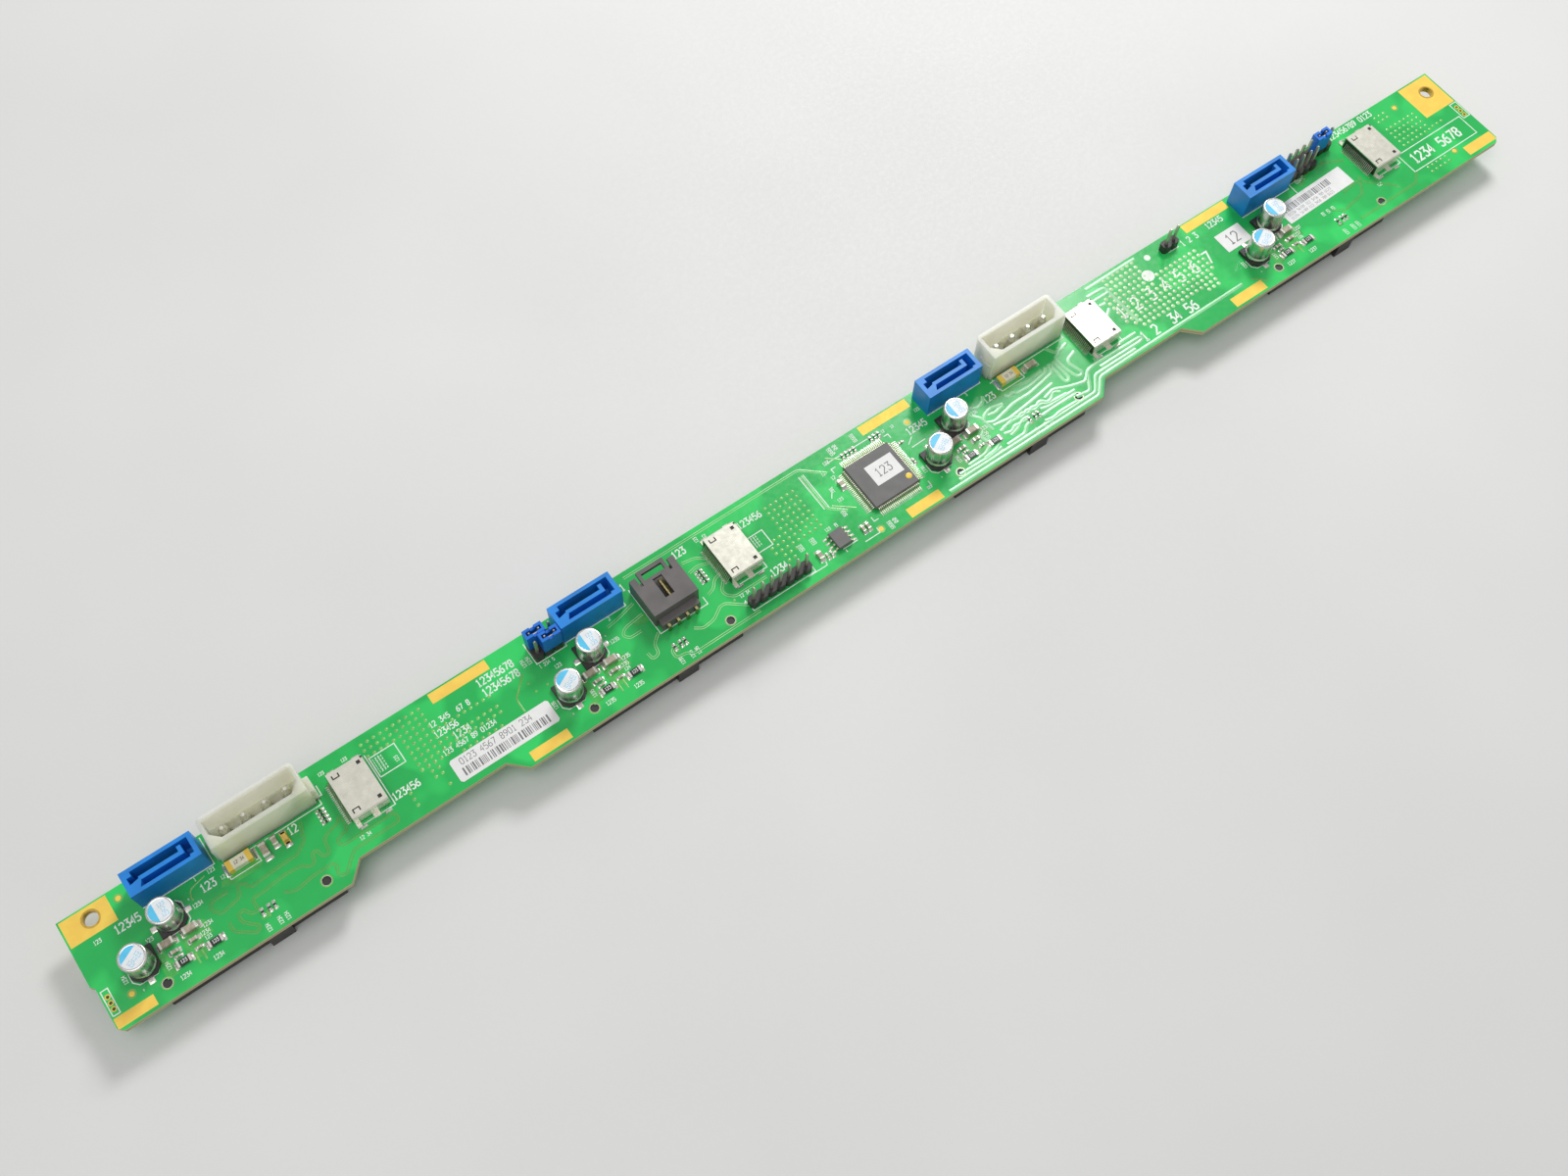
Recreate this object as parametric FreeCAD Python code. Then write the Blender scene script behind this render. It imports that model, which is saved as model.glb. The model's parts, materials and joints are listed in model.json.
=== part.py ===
import FreeCAD, Part
import math
import os

# Drive backplane board for four 3.5 inch drives in a low rack case.
#
# Millimetres.  The board lies flat: X runs along it, Y across it, +Z up out of
# the component side.  The origin is on the axis of the left mounting hole, on
# the board's underside, which is the side that the drives plug into.
#
# "along" is measured from the board's left end and "across" from its near
# edge, the edge that the drive connectors stand beside.  Most parts are set out
# from a drive bay, 0 to 3: the distance along from the middle of the bay's data
# connector, which is called the offset.

Vector = FreeCAD.Vector

# ---------------------------------------------------------------- the bays
bay_count = 4
bay_pitch = 107.0
first_bay = 25.0            # along, to the middle of the first data connector
end_past_last_bay = 68.5    # from the last data connector's middle to the right end

# ---------------------------------------------------------------- the board
board_length = first_bay + (bay_count - 1) * bay_pitch + end_past_last_bay
board_width = 28.8
board_thickness = 1.6
end_step = 0.75             # the left end is set back this much at the near edge
end_step_across = 11.4      # where the set-back part of the left end begins
corner_cut = 1.3            # chamfer on the near corners

edge_cut_depth = 4.1        # two bites out of the near edge, with sides at 45 degrees
edge_cuts = ((0, 30.7, 45.6), (2, 31.6, 34.1))      # bay, offset of its start, width

mounting_hole_diameter = 3.5
left_hole_from_end = 6.6
left_hole_from_far_edge = 3.25
right_hole_from_end = 4.65
right_hole_from_far_edge = 5.1

wire_hole_diameter = 0.7    # two empty rows of three plated holes, one at each end
wire_hole_pitch = 1.5
wire_hole_count = 3
left_wire_row = (2.1, 6.8)          # from the left end, across, of the middle hole
right_wire_row = (1.45, 13.5)       # from the right end, across

hole_clearance = 0.15       # all round, between a pin or post and its hole
tail_length = 1.5           # pin tails below the underside

# ------------------------------------------ data connectors, 7 contacts each
data_length = 16.6
data_depth = 6.2
data_height = 8.0
data_from_far_edge = 4.45   # its middle line
data_end_wall = 1.1
data_side_wall = 0.9
data_floor = 1.6
data_contact_count = 7
data_contact_pitch = 1.27
data_contact_width = 0.7
data_contact_thickness = 0.25
data_contact_from_tip = 1.2     # contacts stop short of the tongue's tip
data_tail_reach = 0.9       # tails past the body
data_key_notch = 1.1        # step in the cavity's corners
data_key_step = 0.45        # lesser step on the near side, and the bevel of the key
tongue_length = 10.4        # the straight part of the L-shaped tongue
tongue_thickness = 0.95
tongue_hook = 1.25          # how far the foot of the L stands out
tongue_below_rim = 0.3
tongue_offset = 0.15        # tongue middle line, short of the connector's middle line

# ------------------------------------------- drive connectors, 29 contacts each
drive_offset = 7.55         # connector middle, from the data connector's middle
drive_length = 42.3
drive_depth = 5.2
drive_height = 7.0
drive_near_face = 1.7       # across
drive_key_width = 5.6       # raised block on the near face
drive_key_offset = 4.9      # its middle, from the connector's middle
drive_key_rise = 1.0
drive_slot_length = 33.2
drive_slot_width = 1.8
drive_slot_from_near_face = 1.7
drive_slot_end_turn = 1.3   # length and depth of the turned ends of the slot
drive_relief_height = 0.8   # open step under the body where the tails leave
guide_pocket_length = 2.2
guide_pocket_depth = 3.4
guide_wall = 1.1            # outside the guide pockets
guide_roof = 1.0            # left above the guide pockets
drive_rim_cut = 0.3         # small chamfer round the mouth
drive_contact_pitch = 1.27
drive_signal_count = 7
drive_power_count = 15
drive_contact_width = 0.6
drive_contact_thickness = 0.3
drive_contact_from_mouth = 1.0
drive_tail_reach = 1.3      # tails past the body
drive_second_count = 7      # closer row on the opposite wall, behind the key
drive_second_pitch = 0.8
drive_second_width = 0.4
drive_post_diameter = 1.9
drive_post_spacing = 37.9
drive_post_across = 3.65
drive_post_below_top = 0.3  # post ends, short of the component side

# --------------------------------------------- power connectors, 4 pins each
power_gaps = ((0, 1.5), (2, 2.0))   # bay, from the data connector's end to the left ear
power_length = 23.0
power_depth = 7.65
power_height = 10.2
power_from_far_edge = 1.05  # far face, short of the board's edge
power_wall = 1.0
power_floor = 3.2
power_corner_radius = 1.2
power_key_cut = 2.2         # chamfer across the near corners of the cavity
power_pin_pitch = 5.08
power_pin_count = 4
power_pin_diameter = 2.0
power_pin_top = 8.0
power_pin_point = 1.3
power_pin_point_diameter = 0.8
power_pin_sides = 8
power_tail_size = 1.4
power_well_diameter = 2.9
power_latch_pocket = (3.4, 0.9, 0.6)        # length, width, depth, in the cavity's floor
ear_width = 3.7
ear_height = 6.0
ear_from_near_face = 0.8
left_ear = 0.6
right_ear = 1.3
# bay, offset of the middle
power_places = tuple((bay, data_length / 2 + gap + left_ear + power_length / 2)
                     for bay, gap in power_gaps)
power_right_ends = {bay: place + power_length / 2 + right_ear for bay, place in power_places}

# --------------------------------------- cable connectors, metal shell, 21 leads
# lead side of each shell, one to a bay, two of them past a power connector
cable_offsets = (power_right_ends[0] + 3.2, 32.2, power_right_ends[2] + 2.1, 30.7)
cable_near_face = 10.9      # across
shell_length = 8.85         # lead side to mouth
shell_width = 12.55
shell_height = 3.6
shell_sheet = 0.3
shell_stand_off = 0.4       # side walls stop this far above the board
shell_leg_positions = ((-0.3, 1.4), (4.2, 1.6))     # start and width of each leg
shell_leg_reach = 1.2
cable_mouth_depth = 5.4
cable_mouth_width = 10.6
cable_mouth_height = 2.3
cable_blade_thickness = 0.7
cable_blade_short = 0.8     # blade, short of the mouth
cable_blade_width = 9.4
cable_lead_count = 21
cable_lead_pitch = 0.5
cable_lead_width = 0.22
cable_lead_thickness = 0.2
cable_lead_out = 0.7        # from the shell's lead side out to the foot of a lead
cable_lead_height = 2.2
cable_latch_slot = (1.8, 1.1)       # length along, width across of the latch slots
cable_latch_slot_start = 0.9
cable_window = 0.9
cable_window_start = 7.1
cable_hole_from_side = 1.05
cable_corner_cut = 1.0

# ------------------------------------------------- round surface capacitors
can_diameter = 6.3
can_height = 7.7            # top above the board
can_edge = 0.45             # rolled top edge
can_neck_depth = 0.3        # rolled in above the base
can_neck_top = 2.0
can_sides = 20
can_base_size = 6.6
can_base_height = 1.0
can_base_cut = 1.5          # chamfer on the two corners at the plus terminal
can_terminal_width = 0.8
can_terminal_thickness = 0.15
can_terminal_reach = 0.9
can_terminal_gap = 1.2      # between the two strips, under the base
can_places = ((-4.6, 15.55, 0.0), (-13.8, 10.0, -90.0))     # offset, across, turn

# ------------------------------------------------------------ pin headers
header_pitch = 2.54
header_pin_size = 0.64
header_pin_point = 0.5
header_pin_height = 8.5     # above the board
header_base_height = 2.5
header_base_cut = 0.5
selector_gap = 0.29         # from the data connector's left end
signal_gap = 1.12           # from the data connector's right end
reset_gap = 0.21            # from the signal header
signal_offset = data_length / 2 + signal_gap + 2 * header_pitch
# middle of each header: bay, offset, across, columns, rows
programming_header = (1, 41.1, 4.2, 7, 1)
selector_header = (1, -(data_length / 2 + selector_gap + 1.5 * header_pitch), 23.1, 3, 2)
test_header = (3, -31.3, 25.3, 2, 1)
signal_header = (3, signal_offset, 24.6, 4, 2)
reset_header = (3, signal_offset + reset_gap + 3.5 * header_pitch, 25.85, 3, 1)

jumper_height = 6.0
jumper_wall = 0.75
jumper_end_slot = 1.1       # opening in the middle of the top
jumper_gap = 0.1            # between neighbouring caps
jumper_clip_thickness = 0.2
jumper_stand = 0.05         # cap above the header's base

# ------------------------------------- side entry header, 4 pins, with a latch
side_place = (1, 11.3)      # bay, offset of its left side
side_near_face = 12.4       # across, of the tall part
side_width = 12.2
side_depth = 10.8
side_height = 5.8
side_wall = 1.1
side_back_wall = 2.2
side_roof = 1.0
side_step_depth = 1.9       # low step that the pins leave through
side_step_height = 3.0
side_step_inset = 0.8
side_slot_width = 2.5
side_slot_length = 5.6
side_slot_from_step = 2.6
side_latch_width = 7.4
side_latch_reach = 1.0
side_latch_window = (5.6, 1.8)
side_latch_gap = (0.7, 2.8)         # width and depth of the cuts beside the latch
side_pin_count = 4
side_pin_height = 2.4
side_pin_short = 2.2        # pin points, inside the mouth
side_pin_drop = 1.0         # drop of the pins, in front of the step

# ------------------------------------------------------------------ chips
controller_place = (2, -28.35, 13.85)       # bay, offset, across
controller_body = 13.6
controller_height = 1.5
controller_stand_off = 0.1
controller_draft = 0.3      # each face leans in by this much from the parting line
controller_lead_count = 25
controller_lead_pitch = 0.5
controller_lead_span = 16.4
memory_place = (2, -46.9, 5.9)
memory_body = (3.9, 4.9)
memory_height = 1.5
memory_stand_off = 0.15
memory_draft = 0.15
memory_lead_count = 4
memory_lead_pitch = 1.27
memory_lead_span = 6.1
chip_corner_cut = 0.5
chip_lead_thickness = 0.16
controller_lead_width = 0.24
memory_lead_width = 0.42

# --------------------------------------------------- small two-ended parts
# length, width, height, length of each metal end; the smallest have plated ends
size_0402 = (1.0, 0.5, 0.45, 0.0)
size_0603 = (1.6, 0.8, 0.75, 0.32)
size_0805 = (2.0, 1.25, 0.95, 0.4)
size_1206 = (3.2, 1.6, 1.4, 0.5)
size_resistor = (3.2, 1.6, 0.6, 0.5)
size_fuse = (5.8, 2.5, 2.0, 1.2)
end_wrap = 0.04             # how far an end stands proud of the body

# In every bay: offset, across, turn, size.
bay_capacitors = (
    (-7.7, 11.1, 0, size_1206),
    (-2.1, 11.2, 0, size_1206),
    (-7.1, 8.7, 0, size_0603),
    (-2.6, 8.75, 0, size_0603),
    (-6.9, 7.4, 0, size_0402),
    (-2.4, 6.6, 0, size_0402),
)
bay_resistors = (
    (-6.4, 5.75, 0, size_resistor),
    (1.0, 5.7, 0, size_resistor),
    (12.0, 5.5, 90, size_0402),
    (13.7, 5.5, 90, size_0402),
    (14.9, 5.5, 90, size_0402),
)
# The rest: bay, offset, across, turn, size.
other_capacitors = (
    (0, 18.9, 17.2, 90, size_1206),
    (0, 21.6, 17.9, 90, size_0805),
    (2, 21.9, 17.6, 0, size_1206),
    (2, -37.6, 17.7, 90, size_0805),
    (2, -53.4, 5.0, 90, size_0805),
    (2, -40.6, 4.8, 90, size_0603),
    (2, -39.2, 4.8, 90, size_0603),
    (2, -51.9, 3.9, 90, size_0402),
    (2, -50.7, 3.9, 90, size_0402),
    (2, -18.6, 18.8, 0, size_0402),
    (2, -19.0, 12.7, 90, size_0402),
)
resistor_columns = ((0, 33.0), (1, 27.5))   # four in a column beside two cable connectors
resistor_column_start = 15.4
resistor_column_pitch = 1.02
resistor_column_count = 4
chip_resistor_rows = ((2, -32.7, 4), (2, -24.0, 3))     # beyond the controller, last how many
chip_resistor_across = 23.8
chip_resistor_pitch = 1.2
fuse_places = ((0, 13.35, 17.95), (2, 15.0, 18.0))
lamp_place = (0, 23.85, 17.1)
lamp_base = (1.5, 3.0, 0.5)
lamp_lens = (1.4, 1.9, 0.9)
lamp_lens_draft = 0.3       # narrower at the top

# -------------------------------------------------------------- paper labels
label_thickness = 0.1
# bay, offset, across, length, width, corner cut, turn
labels = (
    (0, 74.8, 8.7, 26.0, 6.0, 0.5, 0.0),
    (3, -14.8, 17.7, 8.4, 6.0, 0.0, 0.0),
    (3, 13.0, 15.5, 24.0, 6.3, 0.0, 1.5),
)
chip_label = (8.0, 6.0)
chip_label_shift = (1.35, 0.75)     # from the controller's middle


# =================================================================== helpers
origin_along = left_hole_from_end
origin_across = board_width - left_hole_from_far_edge
data_across = board_width - data_from_far_edge
power_near_face = board_width - power_from_far_edge - power_depth
same_place = 1e-6           # tolerance when picking edges


def placed(shape, along, across, up=board_thickness, turn=0.0):
    """Turn a shape about its own Z axis and set it down on the board."""
    shape = shape.copy()
    shape.rotate(Vector(0, 0, 0), Vector(0, 0, 1), turn)
    shape.translate(Vector(along - origin_along, across - origin_across, up))
    return shape


def block(x0, x1, y0, y1, z0, z1):
    """Box between two corners."""
    return Part.makeBox(x1 - x0, y1 - y0, z1 - z0, Vector(x0, y0, z0))


def centred_block(length, width, z0, z1):
    """Box centred on the Z axis."""
    return block(-length / 2, length / 2, -width / 2, width / 2, z0, z1)


def prism(outline, z0, z1):
    """Closed outline of (x, y) points, raised from z0 to z1."""
    points = [Vector(x, y, z0) for x, y in outline]
    face = Part.Face(Part.makePolygon(points + points[:1]))
    return face.extrude(Vector(0, 0, z1 - z0))


def bar_x(profile, x0, x1):
    """Closed profile of (y, z) points, drawn out along X."""
    points = [Vector(x0, y, z) for y, z in profile]
    face = Part.Face(Part.makePolygon(points + points[:1]))
    return face.extrude(Vector(x1 - x0, 0, 0))


def bar_y(profile, y0, y1):
    """Closed profile of (x, z) points, drawn out along Y."""
    points = [Vector(x, y0, z) for x, z in profile]
    face = Part.Face(Part.makePolygon(points + points[:1]))
    return face.extrude(Vector(0, y1 - y0, 0))


def flat_sided(levels):
    """Solid with flat sides between outlines of like shape: (outline, height), from below."""
    loops = [[Vector(x, y, z) for x, y in outline] for outline, z in levels]
    loops = [loop + loop[:1] for loop in loops]
    faces = [Part.Face(Part.makePolygon(loops[0])), Part.Face(Part.makePolygon(loops[-1]))]
    for low, high in zip(loops, loops[1:]):
        for i in range(len(low) - 1):
            side = [low[i], low[i + 1], high[i + 1], high[i], low[i]]
            faces.append(Part.Face(Part.makePolygon(side)))
    return Part.makeSolid(Part.makeShell(faces))


def even_outline(radius, sides):
    """Even-sided outline, with flats towards X and Y."""
    corner = radius / math.cos(math.pi / sides)
    turns = [math.pi * (2 * i + 1) / sides for i in range(sides)]
    return [(corner * math.cos(turn), corner * math.sin(turn)) for turn in turns]


def oblong(length, width):
    """Outline of a rectangle centred on zero."""
    return [(-length / 2, -width / 2), (length / 2, -width / 2),
            (length / 2, width / 2), (-length / 2, width / 2)]


def post(radius, z0, z1, sides=8):
    """Small straight post with flat sides."""
    return prism(even_outline(radius, sides), z0, z1)


def row(count, pitch):
    """Positions of a row of equal steps, centred on zero."""
    return [(i - (count - 1) / 2) * pitch for i in range(count)]


def save(name, shapes):
    """Write one node.  Its shapes stay separate solids."""
    solids = [solid for shape in shapes for solid in shape.Solids]
    Part.makeCompound(solids).exportStep("parts/" + name + ".step")


def from_bay(bay, offset=0.0):
    """Along, at an offset from the middle of one bay's data connector."""
    return first_bay + bay * bay_pitch + offset


def on_board(place):
    """Along and across of a place given as bay, offset and across."""
    bay, offset, across = place
    return from_bay(bay, offset), across


# =================================================================== the board
def board_outline():
    """Outline with the set-back left end and the two bites in the near edge."""
    points = [(end_step, corner_cut), (end_step + corner_cut, 0)]
    for bay, offset, width in edge_cuts:
        start = from_bay(bay, offset)
        points += [(start, 0),
                   (start + edge_cut_depth, edge_cut_depth),
                   (start + width - edge_cut_depth, edge_cut_depth),
                   (start + width, 0)]
    points += [(board_length - corner_cut, 0), (board_length, corner_cut),
               (board_length, board_width), (0, board_width),
               (0, end_step_across + end_step), (end_step, end_step_across)]
    return points


def header_pins_at(header):
    """Along and across of every pin of a header."""
    bay, offset, across, columns, rows = header
    return [(from_bay(bay, offset) + dx, across + dy)
            for dy in row(rows, header_pitch) for dx in row(columns, header_pitch)]


def side_pins_along():
    """Along, of the pins of the side entry header."""
    middle = from_bay(*side_place) + side_width / 2
    return [middle + dx for dx in row(side_pin_count, header_pitch)]


def side_pins_in_housing():
    """The same, measured from the housing's left side."""
    return [side_width / 2 + dx for dx in row(side_pin_count, header_pitch)]


def side_pin_foot():
    """Across, of the holes that those pins drop into."""
    return side_near_face - side_step_depth - side_pin_drop + header_pin_size / 2


def board_holes():
    """Every open hole: along, across, and the tool that drills it."""
    depth = board_thickness
    screw = Part.makeCylinder(mounting_hole_diameter / 2, depth)
    wire = post(wire_hole_diameter / 2, 0, depth)
    guide = post(drive_post_diameter / 2 + hole_clearance, 0, depth)
    holes = [(left_hole_from_end, board_width - left_hole_from_far_edge, screw),
             (board_length - right_hole_from_end, board_width - right_hole_from_far_edge, screw)]
    left_in, left_across = left_wire_row
    right_in, right_across = right_wire_row
    for step in row(wire_hole_count, wire_hole_pitch):
        holes += [(left_in, left_across + step, wire),
                  (board_length - right_in, right_across + step, wire)]
    for bay in range(bay_count):
        middle = from_bay(bay, drive_offset)
        holes += [(middle + side * drive_post_spacing / 2, drive_post_across, guide)
                  for side in (-1, 1)]
    return holes


def board_sockets():
    """Every solder-filled hole, as the square that its pin takes: along, across, size."""
    sockets = [(from_bay(*place) + step, power_near_face + power_depth / 2, power_tail_size)
               for place in power_places for step in row(power_pin_count, power_pin_pitch)]
    for header in (programming_header, selector_header, test_header,
                   signal_header, reset_header):
        sockets += [(along, across, header_pin_size) for along, across in header_pins_at(header)]
    return sockets + [(along, side_pin_foot(), header_pin_size) for along in side_pins_along()]


def circuit_board():
    plate = prism(board_outline(), 0, board_thickness)
    drills = []
    for along, across, tool in board_holes():
        drill = tool.copy()
        drill.translate(Vector(along, across, 0))
        drills.append(drill)
    for along, across, size in board_sockets():
        half = size / 2
        drills.append(block(along - half, along + half, across - half, across + half,
                            0, board_thickness))
    return [placed(plate.cut(drills), 0, 0, 0)]


# ============================================================ data connectors
def data_tongue_outline():
    """L-shaped tongue: the long limb along X, the foot of the L at the right."""
    right = tongue_length / 2 + tongue_offset
    left = right - tongue_length
    far = tongue_far_face()
    near = far - tongue_thickness
    return [(left, near), (right, near), (right, far + tongue_hook),
            (right - tongue_thickness, far + tongue_hook),
            (right - tongue_thickness, far), (left, far)]


def tongue_far_face():
    """Y of the tongue's far face, which carries the contacts."""
    return tongue_thickness / 2 - tongue_offset


def data_connector_housing():
    """Rectangular shroud round an L-shaped tongue, keyed at one near corner."""
    inner_x = data_length / 2 - data_end_wall
    inner_y = data_depth / 2 - data_side_wall
    notch = data_key_notch
    step = data_key_step
    cavity = prism([(-inner_x, -inner_y), (inner_x - notch, -inner_y),
                    (inner_x - notch, -inner_y + step), (inner_x, -inner_y + step),
                    (inner_x, inner_y), (-inner_x + notch, inner_y),
                    (-inner_x + notch, inner_y - notch), (-inner_x, inner_y - notch)],
                   data_floor, data_height)
    tongue_outline = data_tongue_outline()
    tongue = prism(tongue_outline, data_floor, data_height - tongue_below_rim)
    left, near = tongue_outline[0]
    key = prism([(-inner_x, -inner_y), (left - step, -inner_y), (left + step, near),
                 (left, near + step), (-inner_x, near)], data_floor, data_height)
    body = centred_block(data_length, data_depth, 0, data_height)
    face = tongue_far_face()
    riser = block(-inner_x + notch, inner_x - notch, face, face + data_contact_thickness,
                  0, data_floor)
    relief = block(-inner_x + notch, inner_x - notch, face, data_depth / 2,
                   0, data_contact_thickness)
    return body.cut(cavity).fuse([tongue, key]).cut([riser, relief]).removeSplitter()


def data_contacts():
    """Strips up the far face of the tongue, bent out over the board behind."""
    face = tongue_far_face()
    thick = data_contact_thickness
    top = data_height - tongue_below_rim - data_contact_from_tip
    tail = data_depth / 2 + data_tail_reach
    profile = [(face, 0), (tail, 0), (tail, thick), (face + thick, thick),
               (face + thick, top), (face, top)]
    return [bar_x(profile, x - data_contact_width / 2, x + data_contact_width / 2)
            for x in row(data_contact_count, data_contact_pitch)]


# =========================================================== drive connectors
def drive_connector_housing():
    """Long receptacle under the board, open downwards to the drive.

    Drawn with the near face on Y = 0 and the board's underside on Z = 0.
    """
    half = drive_length / 2
    mouth = -drive_height
    body = block(-half, half, 0, drive_depth, mouth, 0)
    key = block(drive_key_offset - drive_key_width / 2, drive_key_offset + drive_key_width / 2,
                -drive_key_rise, 0, mouth, 0)
    slot_near = drive_slot_from_near_face
    slot_far = slot_near + drive_slot_width
    slot_half = drive_slot_length / 2
    slot = block(-slot_half, slot_half, slot_near, slot_far, mouth, -drive_relief_height)
    turns = [block(x, x + drive_slot_end_turn, slot_near - drive_slot_end_turn, slot_near,
                   mouth, mouth / 2)
             for x in (-slot_half, drive_key_offset + drive_key_width / 2 + drive_slot_end_turn)]
    relief = block(-slot_half, slot_half, slot_near, drive_depth, -drive_relief_height, 0)
    pocket_out = half - guide_wall
    pocket_in = pocket_out - guide_pocket_length
    pocket_near = (drive_depth - guide_pocket_depth) / 2
    pockets = [block(x, x + guide_pocket_length, pocket_near, pocket_near + guide_pocket_depth,
                     mouth, -guide_roof)
               for x in (-pocket_out, pocket_in)]
    posts = []
    for side in (-1, 1):
        guide = post(drive_post_diameter / 2, 0, board_thickness - drive_post_below_top)
        guide.translate(Vector(side * drive_post_spacing / 2, drive_post_across - drive_near_face, 0))
        posts.append(guide)
    rim = [edge for edge in body.Edges if abs(edge.CenterOfMass.z - mouth) < same_place]
    body = body.makeChamfer(drive_rim_cut, rim)
    body = body.fuse(key).cut([slot, relief] + turns + pockets)
    return body.fuse(posts).removeSplitter()


def drive_contacts():
    """Far wall: signal and power contacts, their tails bent out under the board.

    Near wall, behind the key: the closer second row, straight up to the board.
    """
    thick = drive_contact_thickness
    tip = -drive_height + drive_contact_from_mouth
    near = drive_slot_from_near_face
    far = near + drive_slot_width
    tail = drive_depth + drive_tail_reach
    bent = [(far - thick, 0), (tail, 0), (tail, -thick), (far, -thick), (far, tip), (far - thick, tip)]
    half = drive_contact_width / 2
    contacts = [bar_x(bent, x - half, x + half)
                for x in row(drive_signal_count + drive_power_count, drive_contact_pitch)]
    half = drive_second_width / 2
    contacts += [block(drive_key_offset + x - half, drive_key_offset + x + half,
                       near, near + thick, tip, 0)
                 for x in row(drive_second_count, drive_second_pitch)]
    return contacts


# =========================================================== power connectors
def power_connector_housing():
    """Shroud with rounded far corners and a cavity cut across at the near corners."""
    half = power_length / 2
    body = block(-half, half, 0, power_depth, 0, power_height)
    far_corners = [edge for edge in body.Edges
                   if abs(edge.CenterOfMass.z - power_height / 2) < same_place
                   and abs(edge.CenterOfMass.y - power_depth) < same_place]
    body = body.makeFillet(power_corner_radius, far_corners)
    ears = [block(-half - left_ear, -half, ear_from_near_face, ear_from_near_face + ear_width,
                  0, ear_height),
            block(half, half + right_ear, ear_from_near_face, ear_from_near_face + ear_width,
                  0, ear_height)]
    inner = half - power_wall
    near = power_wall
    far = power_depth - power_wall
    cavity = prism([(-inner + power_key_cut, near), (inner - power_key_cut, near),
                    (inner, near + power_key_cut), (inner, far), (-inner, far),
                    (-inner, near + power_key_cut)], power_floor, power_height)
    middle = power_depth / 2
    wells = []
    for x in row(power_pin_count, power_pin_pitch):
        well = post(power_well_diameter / 2, 0, power_floor)
        well.translate(Vector(x, middle, 0))
        wells.append(well)
    long, wide, deep = power_latch_pocket
    pockets = [block(x - long / 2, x + long / 2, far - wide, far, power_floor - deep, power_floor)
               for x in row(2, 2 * power_pin_pitch)]
    return body.fuse(ears).cut([cavity] + wells + pockets).removeSplitter()


def power_pin():
    """Stout pin with a tapered point, and a thinner square tail through the board."""
    stout = even_outline(power_pin_diameter / 2, power_pin_sides)
    point = even_outline(power_pin_point_diameter / 2, power_pin_sides)
    pin = flat_sided([(stout, 0), (stout, power_pin_top - power_pin_point), (point, power_pin_top)])
    tail = centred_block(power_tail_size, power_tail_size, -board_thickness - tail_length, 0)
    return pin.fuse(tail)


# =========================================================== cable connectors
def cable_connector_shell():
    """Folded sheet shell, open at both ends, with solder legs on its two sides.

    Drawn with the lead side on X = 0, the near side on Y = 0, the board on Z = 0.
    """
    sheet = shell_sheet
    fold = [(0, shell_stand_off), (0, shell_height - sheet), (sheet, shell_height),
            (shell_width - sheet, shell_height), (shell_width, shell_height - sheet),
            (shell_width, shell_stand_off), (shell_width - sheet, shell_stand_off),
            (shell_width - sheet, shell_height - sheet), (sheet, shell_height - sheet),
            (sheet, shell_stand_off)]
    shell = bar_x(fold, 0, shell_length)
    legs = []
    for start, width in shell_leg_positions:
        x0 = max(start, 0)
        x1 = start + width
        legs.append(block(x0, x1, 0, sheet, 0, shell_stand_off))
        legs.append(block(x0, x1, -shell_leg_reach, 0, 0, sheet))
        legs.append(block(x0, x1, shell_width - sheet, shell_width, 0, shell_stand_off))
        legs.append(block(x0, x1, shell_width, shell_width + shell_leg_reach, 0, sheet))
    cuts = []
    slot_length, slot_width = cable_latch_slot
    roof = shell_height - 2 * sheet
    for side in (0, 1):
        y = side * shell_width
        step = 1 - 2 * side
        a, b = sorted((y + step * cable_hole_from_side, y + step * (cable_hole_from_side + slot_width)))
        bend = block(cable_latch_slot_start, cable_latch_slot_start + slot_length, a, b, roof, shell_height)
        flap = block(cable_latch_slot_start + sheet, cable_latch_slot_start + slot_length - sheet,
                     a + (0 if side == 0 else sheet), b - (sheet if side == 0 else 0),
                     roof, shell_height)
        cuts.append(bend.cut(flap))
        a, b = sorted((y + step * cable_hole_from_side, y + step * (cable_hole_from_side + cable_window)))
        cuts.append(block(cable_window_start, cable_window_start + cable_window, a, b, roof, shell_height))
    corner = prism([(shell_length, shell_width + 1), (shell_length - cable_corner_cut / 2, shell_width + 1),
                    (shell_length - cable_corner_cut / 2, shell_width - cable_corner_cut),
                    (shell_length, shell_width - cable_corner_cut)], roof, shell_height + 1)
    return shell.fuse(legs).cut(cuts + [corner]).removeSplitter()


def cable_connector_body():
    """Moulding inside the shell: a mouth at the right with a blade across it."""
    sheet = shell_sheet
    roof = shell_height - sheet
    body = block(0, shell_length, sheet, shell_width - sheet, 0, roof)
    middle_y = shell_width / 2
    middle_z = roof / 2
    mouth = block(shell_length - cable_mouth_depth, shell_length,
                  middle_y - cable_mouth_width / 2, middle_y + cable_mouth_width / 2,
                  middle_z - cable_mouth_height / 2, middle_z + cable_mouth_height / 2)
    blade = block(shell_length - cable_mouth_depth, shell_length - cable_blade_short,
                  middle_y - cable_blade_width / 2, middle_y + cable_blade_width / 2,
                  middle_z - cable_blade_thickness / 2, middle_z + cable_blade_thickness / 2)
    return body.cut(mouth).fuse(blade).removeSplitter()


def cable_connector_leads():
    """Flat leads that slope down from the moulding to the board."""
    thick = cable_lead_thickness
    out = cable_lead_out
    top = cable_lead_height
    profile = [(0, top), (-out - thick, 0), (-out, 0), (0, top - thick)]
    middle = shell_width / 2
    return [bar_y(profile, middle + y - cable_lead_width / 2, middle + y + cable_lead_width / 2)
            for y in row(cable_lead_count, cable_lead_pitch)]


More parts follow.
